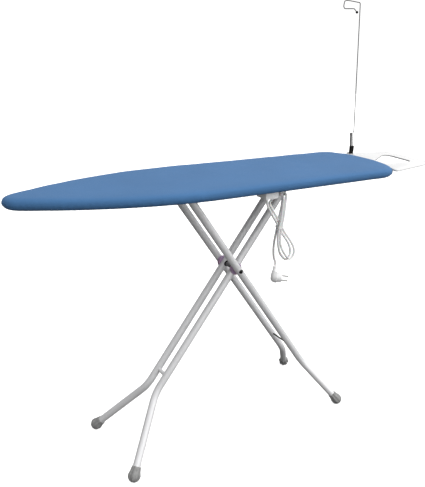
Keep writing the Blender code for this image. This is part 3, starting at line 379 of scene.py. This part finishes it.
def make_looks():
    """Every material of the object."""
    # The edge factors passed below set how much lighter convex edges are painted: a painted
    # highlight.
    return {
        "fabric": fabric_look("blue_cotton", BLUE),
        "thread": plastic_look("sewing_thread", (0.10, 0.21, 0.38), 0.70, Sheen_Weight=0.2),
        "felt": felt_look(),
        "steel": steel_look(),
        "leg": coat_look("silver_grey_coat", (0.80, 0.80, 0.81), 0.36, 0.12, Coat_Weight=0.2),
        "rest": coat_look("white_coat", (0.62, 0.62, 0.62), 0.33, 0.0, 520.0, 1.06,
                          Coat_Weight=0.3),
        "bolt": zinc_look("bright_zinc", (0.62, 0.62, 0.60), 0.28, (1.0, 12.0, 1.0)),
        "dark_bolt": zinc_look("black_zinc", (0.035, 0.035, 0.035), 0.40, (1.0, 12.0, 1.0)),
        "grey": plastic_look("grey_sleeve", (0.15, 0.15, 0.15), 0.45, edge_light=1.5),
        "wire": zinc_look("spring_wire", (0.060, 0.060, 0.060), 0.42, (9.0, 9.0, 1.0)),
        "white": plastic_look("white_plastic", (0.90, 0.90, 0.90), 0.38, edge_light=1.05),
        "insert": plastic_look("pale_plastic", (0.70, 0.69, 0.72), 0.45, edge_light=1.08),
        "cord": plastic_look("cord_sheath", (0.86, 0.86, 0.86), 0.46, 900.0, 1.04,
                             Subsurface_Weight=0.1, Subsurface_Scale=0.002),
        "black": plastic_look("black_plastic", (0.003, 0.003, 0.0033), 0.60, edge_light=2.0,
                              Specular_IOR_Level=0.10),
        "sleeve": plastic_look("dark_sleeve", (0.010, 0.010, 0.011), 0.60, edge_light=1.6,
                               Specular_IOR_Level=0.15),
        "mauve": plastic_look("mauve_plastic", (0.56, 0.38, 0.57), 0.30, edge_light=1.2,
                              Transmission_Weight=0.25, Subsurface_Weight=0.15,
                              Subsurface_Scale=0.004),
        "rubber": rubber_look(),
        "braid": braid_look(),
    }


# ------------------------------------------------------------------- meshes

def add_piece(name, bm, material, body, slot, *nodes, crease=35.0):
    """One visible piece on a CAD body; it stands for the CAD nodes named."""
    bmesh.ops.recalc_face_normals(bm, faces=bm.faces)
    mesh = bpy.data.meshes.new(name)
    bm.to_mesh(mesh)
    bm.free()
    made = bpy.data.objects.new(name, mesh)
    bpy.context.scene.collection.objects.link(made)
    mesh.materials.append(material)
    mesh.shade_smooth()
    mesh.set_sharp_from_angle(angle=math.radians(crease))
    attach(made, body)
    if nodes:
        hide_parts(*nodes)
    return made


def loft(bm, rings, closed=False):
    """Skins rings of equal length; closed joins the last ring to the first."""
    made = [[bm.verts.new(point) for point in ring] for ring in rings]
    pairs = list(zip(made, made[1:]))
    if closed:
        pairs.append((made[-1], made[0]))
    else:
        bm.faces.new(made[0])
        bm.faces.new(made[-1])
    for low, high in pairs:
        for i in range(len(low)):
            j = (i + 1) % len(low)
            bm.faces.new((low[i], low[j], high[j], high[i]))


def circle(centre, side, up, radius, sides):
    turn = 2 * math.pi / sides
    return [centre + (side * math.cos(turn * k) + up * math.sin(turn * k)) * radius
            for k in range(sides)]


def corner_arc(before, corner, after, radius, steps):
    """Arc that replaces one corner between two straight runs."""
    inward = (before - corner).normalized()
    outward = (after - corner).normalized()
    half = inward.angle(outward) / 2
    centre = corner + (inward + outward).normalized() * (radius / math.sin(half))
    first = corner + inward * (radius / math.tan(half)) - centre
    last = corner + outward * (radius / math.tan(half)) - centre
    axis = first.cross(last)
    turn = first.angle(last)
    return [centre + Matrix.Rotation(turn * k / steps, 3, axis) @ first
            for k in range(steps + 1)]


def arc_points(centre_x, centre_y, radius, start, end, steps):
    turn = (end - start) / steps
    return [(centre_x + radius * math.cos(start + turn * k),
             centre_y + radius * math.sin(start + turn * k)) for k in range(steps)]


def board_outline(inset, z, detail=4):
    """Outline of the ironing surface, moved inwards by inset, at height z."""
    reach = FLANK_END_X - NOSE_RADIUS
    flank = (reach ** 2 / (BOARD_HALF - NOSE_RADIUS) + NOSE_RADIUS + BOARD_HALF) / 2
    flank_angle = math.atan2(flank - BOARD_HALF, -reach)
    tail_x = BOARD_LENGTH - TAIL_RADIUS
    drop = BOARD_HALF - CORNER_RADIUS
    shift = math.sqrt((TAIL_RADIUS - CORNER_RADIUS) ** 2 - drop ** 2)
    tail_angle = math.atan2(drop, shift)
    half = arc_points(NOSE_RADIUS, 0.0, NOSE_RADIUS - inset, math.pi, flank_angle, 6 * detail)
    half += arc_points(FLANK_END_X, BOARD_HALF - flank, flank - inset,
                       flank_angle, math.pi / 2, 10 * detail)
    straight = tail_x + shift - FLANK_END_X
    half += [(FLANK_END_X + straight * k / (8 * detail), BOARD_HALF - inset)
             for k in range(8 * detail)]
    half += arc_points(tail_x + shift, drop, CORNER_RADIUS - inset,
                       math.pi / 2, tail_angle, 6 * detail)
    half += arc_points(tail_x, 0.0, TAIL_RADIUS - inset, tail_angle, 0.0, 3 * detail)
    half.append((BOARD_LENGTH - inset, 0.0))
    other = [(x, -y) for x, y in half[-2:0:-1]]
    return [Vector((NOSE_X + x, y, z)) for x, y in half + other]


def edge_places(points):
    """For each point: distance from the board edge, inward direction and edge position."""
    edge = np.array([(p.x, p.y) for p in board_outline(0.0, 0.0)])
    span = np.roll(edge, -1, axis=0) - edge
    length = np.hypot(span[:, 0], span[:, 1])
    along = np.concatenate(([0.0], np.cumsum(length)))[:-1]
    flat = points[:, None, :2] - edge[None]
    t = np.clip((flat * span[None]).sum(2) / (length ** 2)[None], 0.0, 1.0)
    away = flat - t[:, :, None] * span[None]
    gap = np.hypot(away[:, :, 0], away[:, :, 1])
    near = gap.argmin(axis=1)
    rows = np.arange(len(points))
    distance = gap[rows, near]
    inward = away[rows, near] / np.maximum(distance, 1e-9)[:, None]
    foot = edge[near] + t[rows, near][:, None] * span[near]
    return distance, inward, foot, along[near] + t[rows, near] * length[near]


def coordinates(mesh):
    flat = np.empty(len(mesh.vertices) * 3)
    mesh.vertices.foreach_get("co", flat)
    return flat.reshape(-1, 3)


def set_coordinates(mesh, places):
    mesh.vertices.foreach_set("co", places.astype(float).ravel())
    mesh.update()


def bake(made):
    """Applies the modifiers of a piece to its mesh."""
    graph = bpy.context.evaluated_depsgraph_get()
    mesh = bpy.data.meshes.new_from_object(made.evaluated_get(graph))
    made.modifiers.clear()
    old = made.data
    made.data = mesh
    bpy.data.meshes.remove(old)
    mesh.name = made.name


# ----------------------------------------------------------- ironing surface

def cover_form():
    """Closed padded form, a little smaller than the finished cover."""
    bm = bmesh.new()
    radius = EDGE_RADIUS - START_INSET
    rings = []
    for k in range(FORM_RINGS + 1):
        angle = math.pi / 2 - math.pi * k / FORM_RINGS
        rings.append(board_outline(EDGE_RADIUS - radius * math.cos(angle),
                                   BOARD_TOP - EDGE_RADIUS + radius * math.sin(angle), 2))
    loft(bm, rings)
    bmesh.ops.recalc_face_normals(bm, faces=bm.faces)
    mesh = bpy.data.meshes.new("cover_form")
    bm.to_mesh(mesh)
    bm.free()
    made = bpy.data.objects.new("cover_form", mesh)
    bpy.context.scene.collection.objects.link(made)
    step = made.modifiers.new("voxels", "REMESH")
    step.mode = "VOXEL"
    step.voxel_size = VOXEL
    bake(made)
    return made


def inflate(made):
    """Cloth pass: the closed form swells under light pressure, up to the cap."""
    before = coordinates(made.data)
    cloth = made.modifiers.new("cloth", "CLOTH")
    cloth.settings.use_pressure = True
    cloth.settings.uniform_pressure_force = PRESSURE
    cloth.settings.quality = CLOTH_QUALITY
    cloth.settings.effector_weights.gravity = 0.0
    cloth.point_cache.frame_start = 1
    cloth.point_cache.frame_end = CLOTH_FRAMES
    for number in range(1, CLOTH_FRAMES + 1):
        bpy.context.scene.frame_set(number)
    bake(made)
    bpy.context.scene.frame_set(1)
    after = coordinates(made.data)
    travel = after - before
    reach = np.maximum(np.linalg.norm(travel, axis=1), 1e-9)
    travel *= (np.minimum(reach, CLOTH_CAP) / reach)[:, None]
    set_coordinates(made.data, before + travel)


def open_underside(made):
    """Cuts away the middle of the underside and draws the edge to the hem line."""
    bm = bmesh.new()
    bm.from_mesh(made.data)
    places = np.array([face.calc_center_median() for face in bm.faces])
    distance = edge_places(places)[0]
    low = places[:, 2] < UNDERSIDE_Z
    bm.faces.ensure_lookup_table()
    inner = [bm.faces[i] for i in np.flatnonzero(low & (distance > HEM_INSET - VOXEL * 0.4))]
    bmesh.ops.delete(bm, geom=inner, context="FACES")
    rim = [vert for vert in bm.verts if vert.is_boundary]
    inward, foot = edge_places(np.array([vert.co for vert in rim]))[1:3]
    for vert, start, direction in zip(rim, foot, inward):
        target = start + direction * HEM_INSET
        vert.co = (target[0], target[1], HEM_Z + HEM_LIFT)
    turned = [v for v in bm.verts if not v.is_boundary and v.co.z < UNDERSIDE_Z]
    bmesh.ops.smooth_vert(bm, verts=turned, factor=0.5,
                          use_axis_x=True, use_axis_y=True, use_axis_z=True)
    bm.to_mesh(made.data)
    bm.free()


def gather(made):
    """Ripples the turned-under hem and gives the top its faint unevenness."""
    places = coordinates(made.data)
    distance, _, _, along = edge_places(places)
    low = np.clip((BOARD_TOP - EDGE_RADIUS * 1.1 - places[:, 2]) / (EDGE_RADIUS * 0.8), 0.0, 1.0)
    ramp = low * np.clip((distance - 0.004) / 0.018, 0.0, 1.0)
    drift = np.array([noise.noise(Vector((s * 9.0, 3.1, 0.0))) for s in along])
    wave = 0.5 + 0.5 * np.sin(2 * math.pi * (along / GATHER_PITCH + drift * 1.3))
    places[:, 2] -= ramp * GATHER_DEPTH * wave
    top = places[:, 2] > BOARD_TOP - EDGE_RADIUS
    soft = np.array([noise.fractal(Vector(p) * 9.0, 1.0, 2.0, 3) for p in places])
    pull = np.array([noise.noise(Vector((s * 16.0, 0.0, 7.0))) for s in along])
    edge = np.exp(-((distance - 0.012) / 0.016) ** 2)
    places[:, 2] += np.where(top, (soft + pull * edge) * TOP_UNEVEN, 0.0)
    set_coordinates(made.data, places)


def stitch(bm, start, end, normal, radius):
    """One sewn stitch, sunk at both ends."""
    along = (end - start).normalized()
    side = along.cross(normal).normalized()
    rings = []
    for t, size, lift in ((0.0, 0.4, -0.6), (0.2, 1.0, 0.3), (0.5, 1.0, 0.6), (0.8, 1.0, 0.3),
                          (1.0, 0.4, -0.6)):
        centre = start.lerp(end, t) + normal * radius * lift
        rings.append(circle(centre, side, normal, radius * size, 6))
    loft(bm, rings)


def hem_stitches(cover, looks):
    """Row of stitches along the hem on the underside."""
    tree = BVHTree.FromObject(cover, bpy.context.evaluated_depsgraph_get())
    line = board_outline(STITCH_INSET, HEM_Z - 0.02, 8)
    bm = bmesh.new()
    travelled = 0.0
    goal = 0.0
    for first, last in zip(line, line[1:] + line[:1]):
        span = (last - first).length
        while goal < travelled + span:
            start = first.lerp(last, (goal - travelled) / span)
            ends = [start, start + (last - first).normalized() * STITCH_PITCH * STITCH_SHARE]
            hits = [tree.ray_cast(end, Z_AXIS) for end in ends]
            if all(hit[0] is not None for hit in hits):
                normal = (hits[0][1] + hits[1][1]).normalized()
                normal = normal if normal.z < 0 else -normal
                stitch(bm, hits[0][0], hits[1][0], normal, STITCH_RADIUS)
            goal += STITCH_PITCH
        travelled += span
    add_piece("hem_stitches", bm, looks["thread"], "board", "fabric")


def make_cover(looks):
    """Fabric cover: inflated, opened below, gathered at the hem."""
    form = cover_form()
    inflate(form)
    open_underside(form)
    gather(form)
    bm = bmesh.new()
    bm.from_mesh(form.data)
    bpy.data.objects.remove(form, do_unlink=True)
    cover = add_piece("cover_fabric", bm, looks["fabric"], "board", "fabric", "fabric_cover",
                      crease=180.0)
    skin = cover.modifiers.new("thickness", "SOLIDIFY")
    skin.thickness = FABRIC_THICK
    skin.offset = -1.0
    finer = cover.modifiers.new("finer", "SUBSURF")
    finer.levels = 1
    finer.render_levels = 1
    bake(cover)
    cover.data.shade_smooth()
    hem_stitches(cover, looks)


def make_pad(looks):
    """Felt pad with a slightly ragged edge."""
    bm = bmesh.new()
    low = Vector(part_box("felt_pad")[0])
    reach = EDGE_RADIUS - FABRIC_THICK - PAD_GAP
    centre = BOARD_TOP - EDGE_RADIUS
    start = math.asin(max((low.z - centre) / reach, -1.0))
    turns = [start + (math.pi / 2 - start) * k / PAD_RINGS for k in range(PAD_RINGS + 1)]
    rings = []
    for turn in turns:
        inset = EDGE_RADIUS - reach * math.cos(turn)
        z = max(centre + reach * math.sin(turn), low.z)
        rings.append([point + Vector((noise.noise(point * 210.0), noise.noise(point * 190.0), 0.0))
                      * PAD_FRAY for point in board_outline(inset, z, 6)])
    loft(bm, rings)
    add_piece("pad_felt", bm, looks["felt"], "board", "felt", "felt_pad", crease=60.0)


# --------------------------------------------------------------------- legs

JOINTS = {joint["name"]: joint for joint in RECORD["behaviour"]["joints"]}
PIVOT = Vector(JOINTS["leg_a_scissor"]["pos_m"])
FOLD = Vector(JOINTS["leg_b_fold"]["pos_m"])
LEG_ARM = (FOLD - PIVOT).length
LEG_ANGLE = math.atan2(FOLD.z - PIVOT.z, FOLD.x - PIVOT.x)


def leg_point(lean, s, y):
    """Point of a leg plane; s runs down from the pivot."""
    down = Vector((lean * math.cos(LEG_ANGLE), 0.0, -math.sin(LEG_ANGLE)))
    return Vector((PIVOT.x, y, PIVOT.z)) + down * s


def leg_corners(leg, side):
    """Top, bend and lower end of one leg tube."""
    end = (PIVOT.z - TUBE_END_Z) / math.sin(LEG_ANGLE)
    spread = (end - leg["bend"]) * math.tan(leg["splay"])
    return [leg_point(leg["lean"], -LEG_ARM - TUBE_TOP_EXTRA, side * leg["gap"]),
            leg_point(leg["lean"], leg["bend"], side * leg["gap"]),
            leg_point(leg["lean"], end, side * (leg["gap"] + spread))]


def swept_tube(path, radii, bore, sides):
    """Hollow tube along a path with rounded lips."""
    tangents = [(path[min(i + 1, len(path) - 1)] - path[max(i - 1, 0)]).normalized()
                for i in range(len(path))]
    side = tangents[0].orthogonal().normalized()
    outer = []
    inner = []
    for point, tangent, radius in zip(path, tangents, radii):
        side = (side - tangent * side.dot(tangent)).normalized()
        up = tangent.cross(side)
        outer.append(circle(point, side, up, radius, sides))
        inner.append(circle(point, side, up, bore, sides))
    bm = bmesh.new()
    loft(bm, outer + inner[::-1], closed=True)
    return bm


def make_leg_tube(name, leg, side, body, looks):
    """Bent round tube in fine steps, with softened ends."""
    top, bend, end = leg_corners(leg, side)
    arc = corner_arc(top, bend, end, BEND_RADIUS, 20)
    path = [top, top + (bend - top).normalized() * TUBE_LIP_LENGTH]
    path += [top.lerp(arc[0], k / 12) for k in range(1, 12)]
    path += arc
    path += [arc[-1].lerp(end, k / 6) for k in range(1, 6)]
    path += [end + (arc[-1] - end).normalized() * TUBE_LIP_LENGTH, end]
    lip = TUBE_RADIUS - TUBE_LIP
    radii = [lip] + [TUBE_RADIUS] * (len(path) - 2) + [lip]
    add_piece(name.replace("_tube", "_pipe"), swept_tube(path, radii, TUBE_BORE, TUBE_SIDES),
              looks["leg"], body, "leg", name, crease=50.0)


def make_foot(name, leg, side, body, looks):
    """Ribbed rubber ball foot with a petal lip and a flat sole."""
    bend, end = leg_corners(leg, side)[1:]
    up = (bend - end).normalized()
    floor = end - up * (end.z / up.z)
    lap = (end - floor).length - 0.0003
    side_axis = up.orthogonal().normalized()
    cross = up.cross(side_axis)
    bore = TUBE_RADIUS + 0.0003
    profile = []
    for k in range(12):
        angle = math.radians(168.0 - 103.0 * k / 11)
        profile.append((FOOT_CENTRE + FOOT_RADIUS * math.cos(angle),
                        FOOT_RADIUS * math.sin(angle), min(1.0, k / 4), 0.0))
    profile += [(0.0350, 0.0153, 1.0, 0.2), (0.0385, 0.0146, 1.0, 0.4), (0.0415, 0.0143, 0.9, 0.6),
                (0.0445, 0.0139, 0.7, 0.8), (0.0466, 0.0133, 0.5, 1.0), (0.0474, 0.0124, 0.3, 1.0),
                (0.0478, 0.0118, 0.1, 0.6), (0.0480, bore, 0.0, 0.0), (0.0470, bore, 0.0, 0.0),
                (lap, bore, 0.0, 0.0)]
    rings = []
    for t, radius, rib, petal in profile:
        ring = []
        for k in range(FOOT_SIDES):
            angle = 2 * math.pi * k / FOOT_SIDES
            ridge = 0.5 + 0.5 * math.cos(FOOT_RIBS * angle)
            groove = (1.0 - ridge) ** 1.6
            reach = radius * (1.0 - RIB_DEPTH * rib * groove)
            height = t + PETAL_HEIGHT * petal * (ridge - 0.5)
            ring.append(floor + up * height
                        + (side_axis * math.cos(angle) + cross * math.sin(angle)) * reach)
        rings.append(ring)
    bm = bmesh.new()
    loft(bm, rings)
    parts = bm.verts[:] + bm.edges[:] + bm.faces[:]
    result = bmesh.ops.bisect_plane(bm, geom=parts, plane_co=Vector(), plane_no=-Z_AXIS,
                                    clear_outer=True)
    rim = [part for part in result["geom_cut"] if isinstance(part, bmesh.types.BMEdge)]
    bmesh.ops.edgeloop_fill(bm, edges=rim)
    add_piece(name.replace("foot_", "rubber_foot_"), bm, looks["rubber"], body, "rubber", name,
              crease=50.0)


def make_legs(looks):
    for letter, leg in (("a", LEG_A), ("b", LEG_B)):
        for word, side in (("left", 1), ("right", -1)):
            make_leg_tube(f"leg_{letter}_tube_{word}", leg, side, f"leg_{letter}", looks)
            make_foot(f"foot_{letter}_{word}", leg, side, f"leg_{letter}", looks)


# ------------------------------------------------------------ finer versions

def refined(node, name, material, body, slot, swell=0.0, crease=None, levels=2):
    """Finer, rounder copy of a CAD node; swell makes up for the rounding."""
    bm = bmesh.new()
    bm.from_mesh(NODES[node].data)
    bm.transform(NODES[node].matrix_world)
    bmesh.ops.remove_doubles(bm, verts=bm.verts, dist=WELD_DISTANCE)
    bmesh.ops.join_triangles(bm, faces=bm.faces, angle_face_threshold=math.radians(30.0),
                             angle_shape_threshold=math.radians(60.0))
    bmesh.ops.recalc_face_normals(bm, faces=bm.faces)
    bm.normal_update()
    for vert in bm.verts:
        vert.co += vert.normal * swell
    if crease:
        layer = bm.edges.layers.float.new("crease_edge")
        for edge in bm.edges:
            if len(edge.link_faces) == 2 and edge.calc_face_angle(0.0) > math.radians(crease):
                edge[layer] = 0.75
    made = add_piece(name, bm, material, body, slot, node, crease=180.0)
    step = made.modifiers.new("finer", "SUBSURF")
    step.levels = levels
    step.render_levels = levels
    return made


def make_finer(looks):
    """Round bars, cords and turned pieces in finer steps than the CAD."""
    refined("mains_cord", "cord_sheath", looks["cord"], "board", "cord", swell=0.00050)
    refined("hem_cord", "drawcord", looks["braid"], "board", "cord", swell=0.00040)
    refined("rim_frame", "rim_tube", looks["steel"], "board", "steel", swell=0.00095)
    refined("cord_tie", "cord_band", looks["white"], "board", "white", crease=40.0)
    refined("strain_relief", "cord_relief", looks["white"], "board", "white", 0.00020, 55.0)
    refined("holder_wire", "spring_wire", looks["wire"], "cord_holder", "wire", swell=0.00026)
    refined("holder_sleeve", "wire_sleeve", looks["sleeve"], "cord_holder", "grey", 0.00015, 55.0)
    refined("holder_tip", "wire_tip", looks["black"], "cord_holder", "black", 0.00018)
    refined("cord_lock", "drawcord_lock", looks["black"], "board", "black", 0.00020, 40.0)


# ------------------------------------------------------- carried-over nodes

CAD_LOOKS = {
    "steel": ["deck_plate", "cross_bar_front", "cross_bar_middle", "cross_bar_rear",
              "cross_bar_tail_front", "cross_bar_tail_back", "height_rail_left",
              "height_rail_right", "rear_bracket", "latch_bracket", "socket_bracket",
              "latch_bar"],
    "rest": ["rest_arm_left", "rest_arm_right", "iron_rest"],
    "bolt": ["rest_screw_left_front", "rest_screw_left_back", "rest_screw_right_front",
             "rest_screw_right_back", "plug_pin_upper", "plug_pin_lower", "latch_shaft",
             "leg_a_axle", "leg_b_axle", "pivot_nut"],
    "dark_bolt": ["pivot_bolt"],
    "black": ["holder_clamp", "clamp_screw", "release_lever", "pivot_washer", "axle_cap_left",
              "axle_cap_right"],
    "white": ["socket_housing", "plug_body"],
    "insert": ["socket_insert"],
    "mauve": ["pivot_spacer_left", "pivot_spacer_right"],
    "leg": ["leg_b_brace"],
    "sleeve": ["leg_a_brace"],
    "grey": ["pivot_sleeve"],
}
BEVELS = {"deck_plate": 0.0002, "socket_housing": 0.0008, "plug_body": 0.0007,
          "release_lever": 0.0012, "iron_rest": 0.0004, "holder_clamp": 0.0002}


def dress_nodes(looks):
    """Materials, softened edges and smooth shading for the CAD nodes that stay."""
    for key, names in CAD_LOOKS.items():
        for name in names:
            made = NODES[name]
            made.data.materials.clear()
            made.data.materials.append(looks[key])
            if "custom_normal" in made.data.attributes:
                made.data.attributes.remove(made.data.attributes["custom_normal"])
            made.data.shade_smooth()
            weld = made.modifiers.new("weld", "WELD")
            weld.merge_threshold = WELD_DISTANCE
            soft = made.modifiers.new("edges", "BEVEL")
            soft.width = BEVELS.get(name, BEVEL)
            soft.segments = BEVEL_SEGMENTS
            soft.limit_method = "ANGLE"
            soft.angle_limit = BEVEL_ANGLE
            soft.harden_normals = True


# -------------------------------------------------------------------- studio

def add_camera():
    """Camera in front, to the left and a little above the board."""
    forward = Vector((math.sin(CAMERA_YAW) * math.cos(CAMERA_PITCH),
                      math.cos(CAMERA_YAW) * math.cos(CAMERA_PITCH), -math.sin(CAMERA_PITCH)))
    right = Vector((math.cos(CAMERA_YAW), -math.sin(CAMERA_YAW), 0.0))
    up = right.cross(forward)
    side = right * math.cos(CAMERA_ROLL) + up * math.sin(CAMERA_ROLL)
    top = up * math.cos(CAMERA_ROLL) - right * math.sin(CAMERA_ROLL)
    camera = bpy.data.objects.new("camera", bpy.data.cameras.new("camera"))
    camera.data.lens = CAMERA_LENS
    camera.data.sensor_width = SENSOR_WIDTH
    turn = Matrix((side, top, -forward)).transposed().to_4x4()
    camera.matrix_world = Matrix.Translation(Vector((NOSE_X, 0, 0)) + CAMERA_FROM_NOSE) @ turn
    bpy.context.scene.collection.objects.link(camera)
    bpy.context.scene.camera = camera


def add_world():
    """White backdrop; the light itself is brighter from the right and above."""
    world = bpy.data.worlds.new("studio")
    bpy.context.scene.world = world
    world.use_nodes = True
    tree = world.node_tree
    coord = tree.nodes.new("ShaderNodeTexCoord")
    dot = tree.nodes.new("ShaderNodeVectorMath")
    dot.operation = "DOT_PRODUCT"
    dot.inputs[1].default_value = LIGHT_SIDE
    tree.links.new(coord.outputs["Generated"], dot.inputs[0])
    level = tree.nodes.new("ShaderNodeMapRange")
    level.inputs["From Min"].default_value = -0.7
    level.inputs["From Max"].default_value = 0.9
    level.inputs["To Min"].default_value = WORLD_DARK
    level.inputs["To Max"].default_value = WORLD_BRIGHT
    tree.links.new(dot.outputs["Value"], level.inputs["Value"])
    seen = tree.nodes.new("ShaderNodeLightPath")
    mix = tree.nodes.new("ShaderNodeMix")
    tree.links.new(seen.outputs["Is Camera Ray"], mix.inputs["Factor"])
    tree.links.new(level.outputs[0], mix.inputs["A"])
    mix.inputs["B"].default_value = BACKDROP
    tree.links.new(mix.outputs["Result"], tree.nodes["Background"].inputs["Strength"])
    tree.nodes["Background"].inputs["Color"].default_value = (1.0, 1.0, 1.0, 1.0)


def add_key_light():
    """Large soft lamp above and to the right."""
    lamp = bpy.data.lights.new("key", "AREA")
    lamp.shape = "RECTANGLE"
    lamp.size, lamp.size_y = KEY_SIZE
    lamp.energy = KEY_POWER
    made = bpy.data.objects.new("key", lamp)
    made.location = KEY_PLACE
    made.rotation_euler = (KEY_TARGET - KEY_PLACE).to_track_quat("-Z", "Y").to_euler()
    bpy.context.scene.collection.objects.link(made)


def add_floor():
    """Plain pale floor; it looks white and throws back little light."""
    mesh = bpy.data.meshes.new("floor")
    half = FLOOR_HALF
    mesh.from_pydata([(-half, -half, 0.0), (half, -half, 0.0), (half, half, 0.0),
                      (-half, half, 0.0)], [], [(0, 1, 2, 3)])
    floor = bpy.data.objects.new("floor", mesh)
    floor.location.z = CAD_BOX[0][2] - FLOOR_GAP
    material = bpy.data.materials.new("floor")
    material.use_nodes = True
    tree = material.node_tree
    shader = tree.nodes["Principled BSDF"]
    shader.inputs["Base Color"].default_value = (FLOOR_SEEN, FLOOR_SEEN, FLOOR_SEEN, 1.0)
    shader.inputs["Roughness"].default_value = 1.0
    shader.inputs["Specular IOR Level"].default_value = 0.0
    shader.inputs["Emission Color"].default_value = (1.0, 1.0, 1.0, 1.0)
    shader.inputs["Emission Strength"].default_value = FLOOR_GLOW
    bounce = tree.nodes.new("ShaderNodeBsdfDiffuse")
    bounce.inputs["Color"].default_value = (FLOOR_BOUNCE, FLOOR_BOUNCE, FLOOR_BOUNCE, 1.0)
    seen = tree.nodes.new("ShaderNodeLightPath")
    mix = tree.nodes.new("ShaderNodeMixShader")
    tree.links.new(seen.outputs["Is Camera Ray"], mix.inputs[0])
    tree.links.new(bounce.outputs[0], mix.inputs[1])
    tree.links.new(shader.outputs[0], mix.inputs[2])
    tree.links.new(mix.outputs[0], tree.nodes["Material Output"].inputs["Surface"])
    mesh.materials.append(material)
    bpy.context.scene.collection.objects.link(floor)


LOOKS = make_looks()
make_cover(LOOKS)
make_pad(LOOKS)
make_legs(LOOKS)
make_finer(LOOKS)
dress_nodes(LOOKS)
add_camera()
add_world()
add_key_light()
add_floor()
bpy.context.scene.view_settings.view_transform = "Standard"
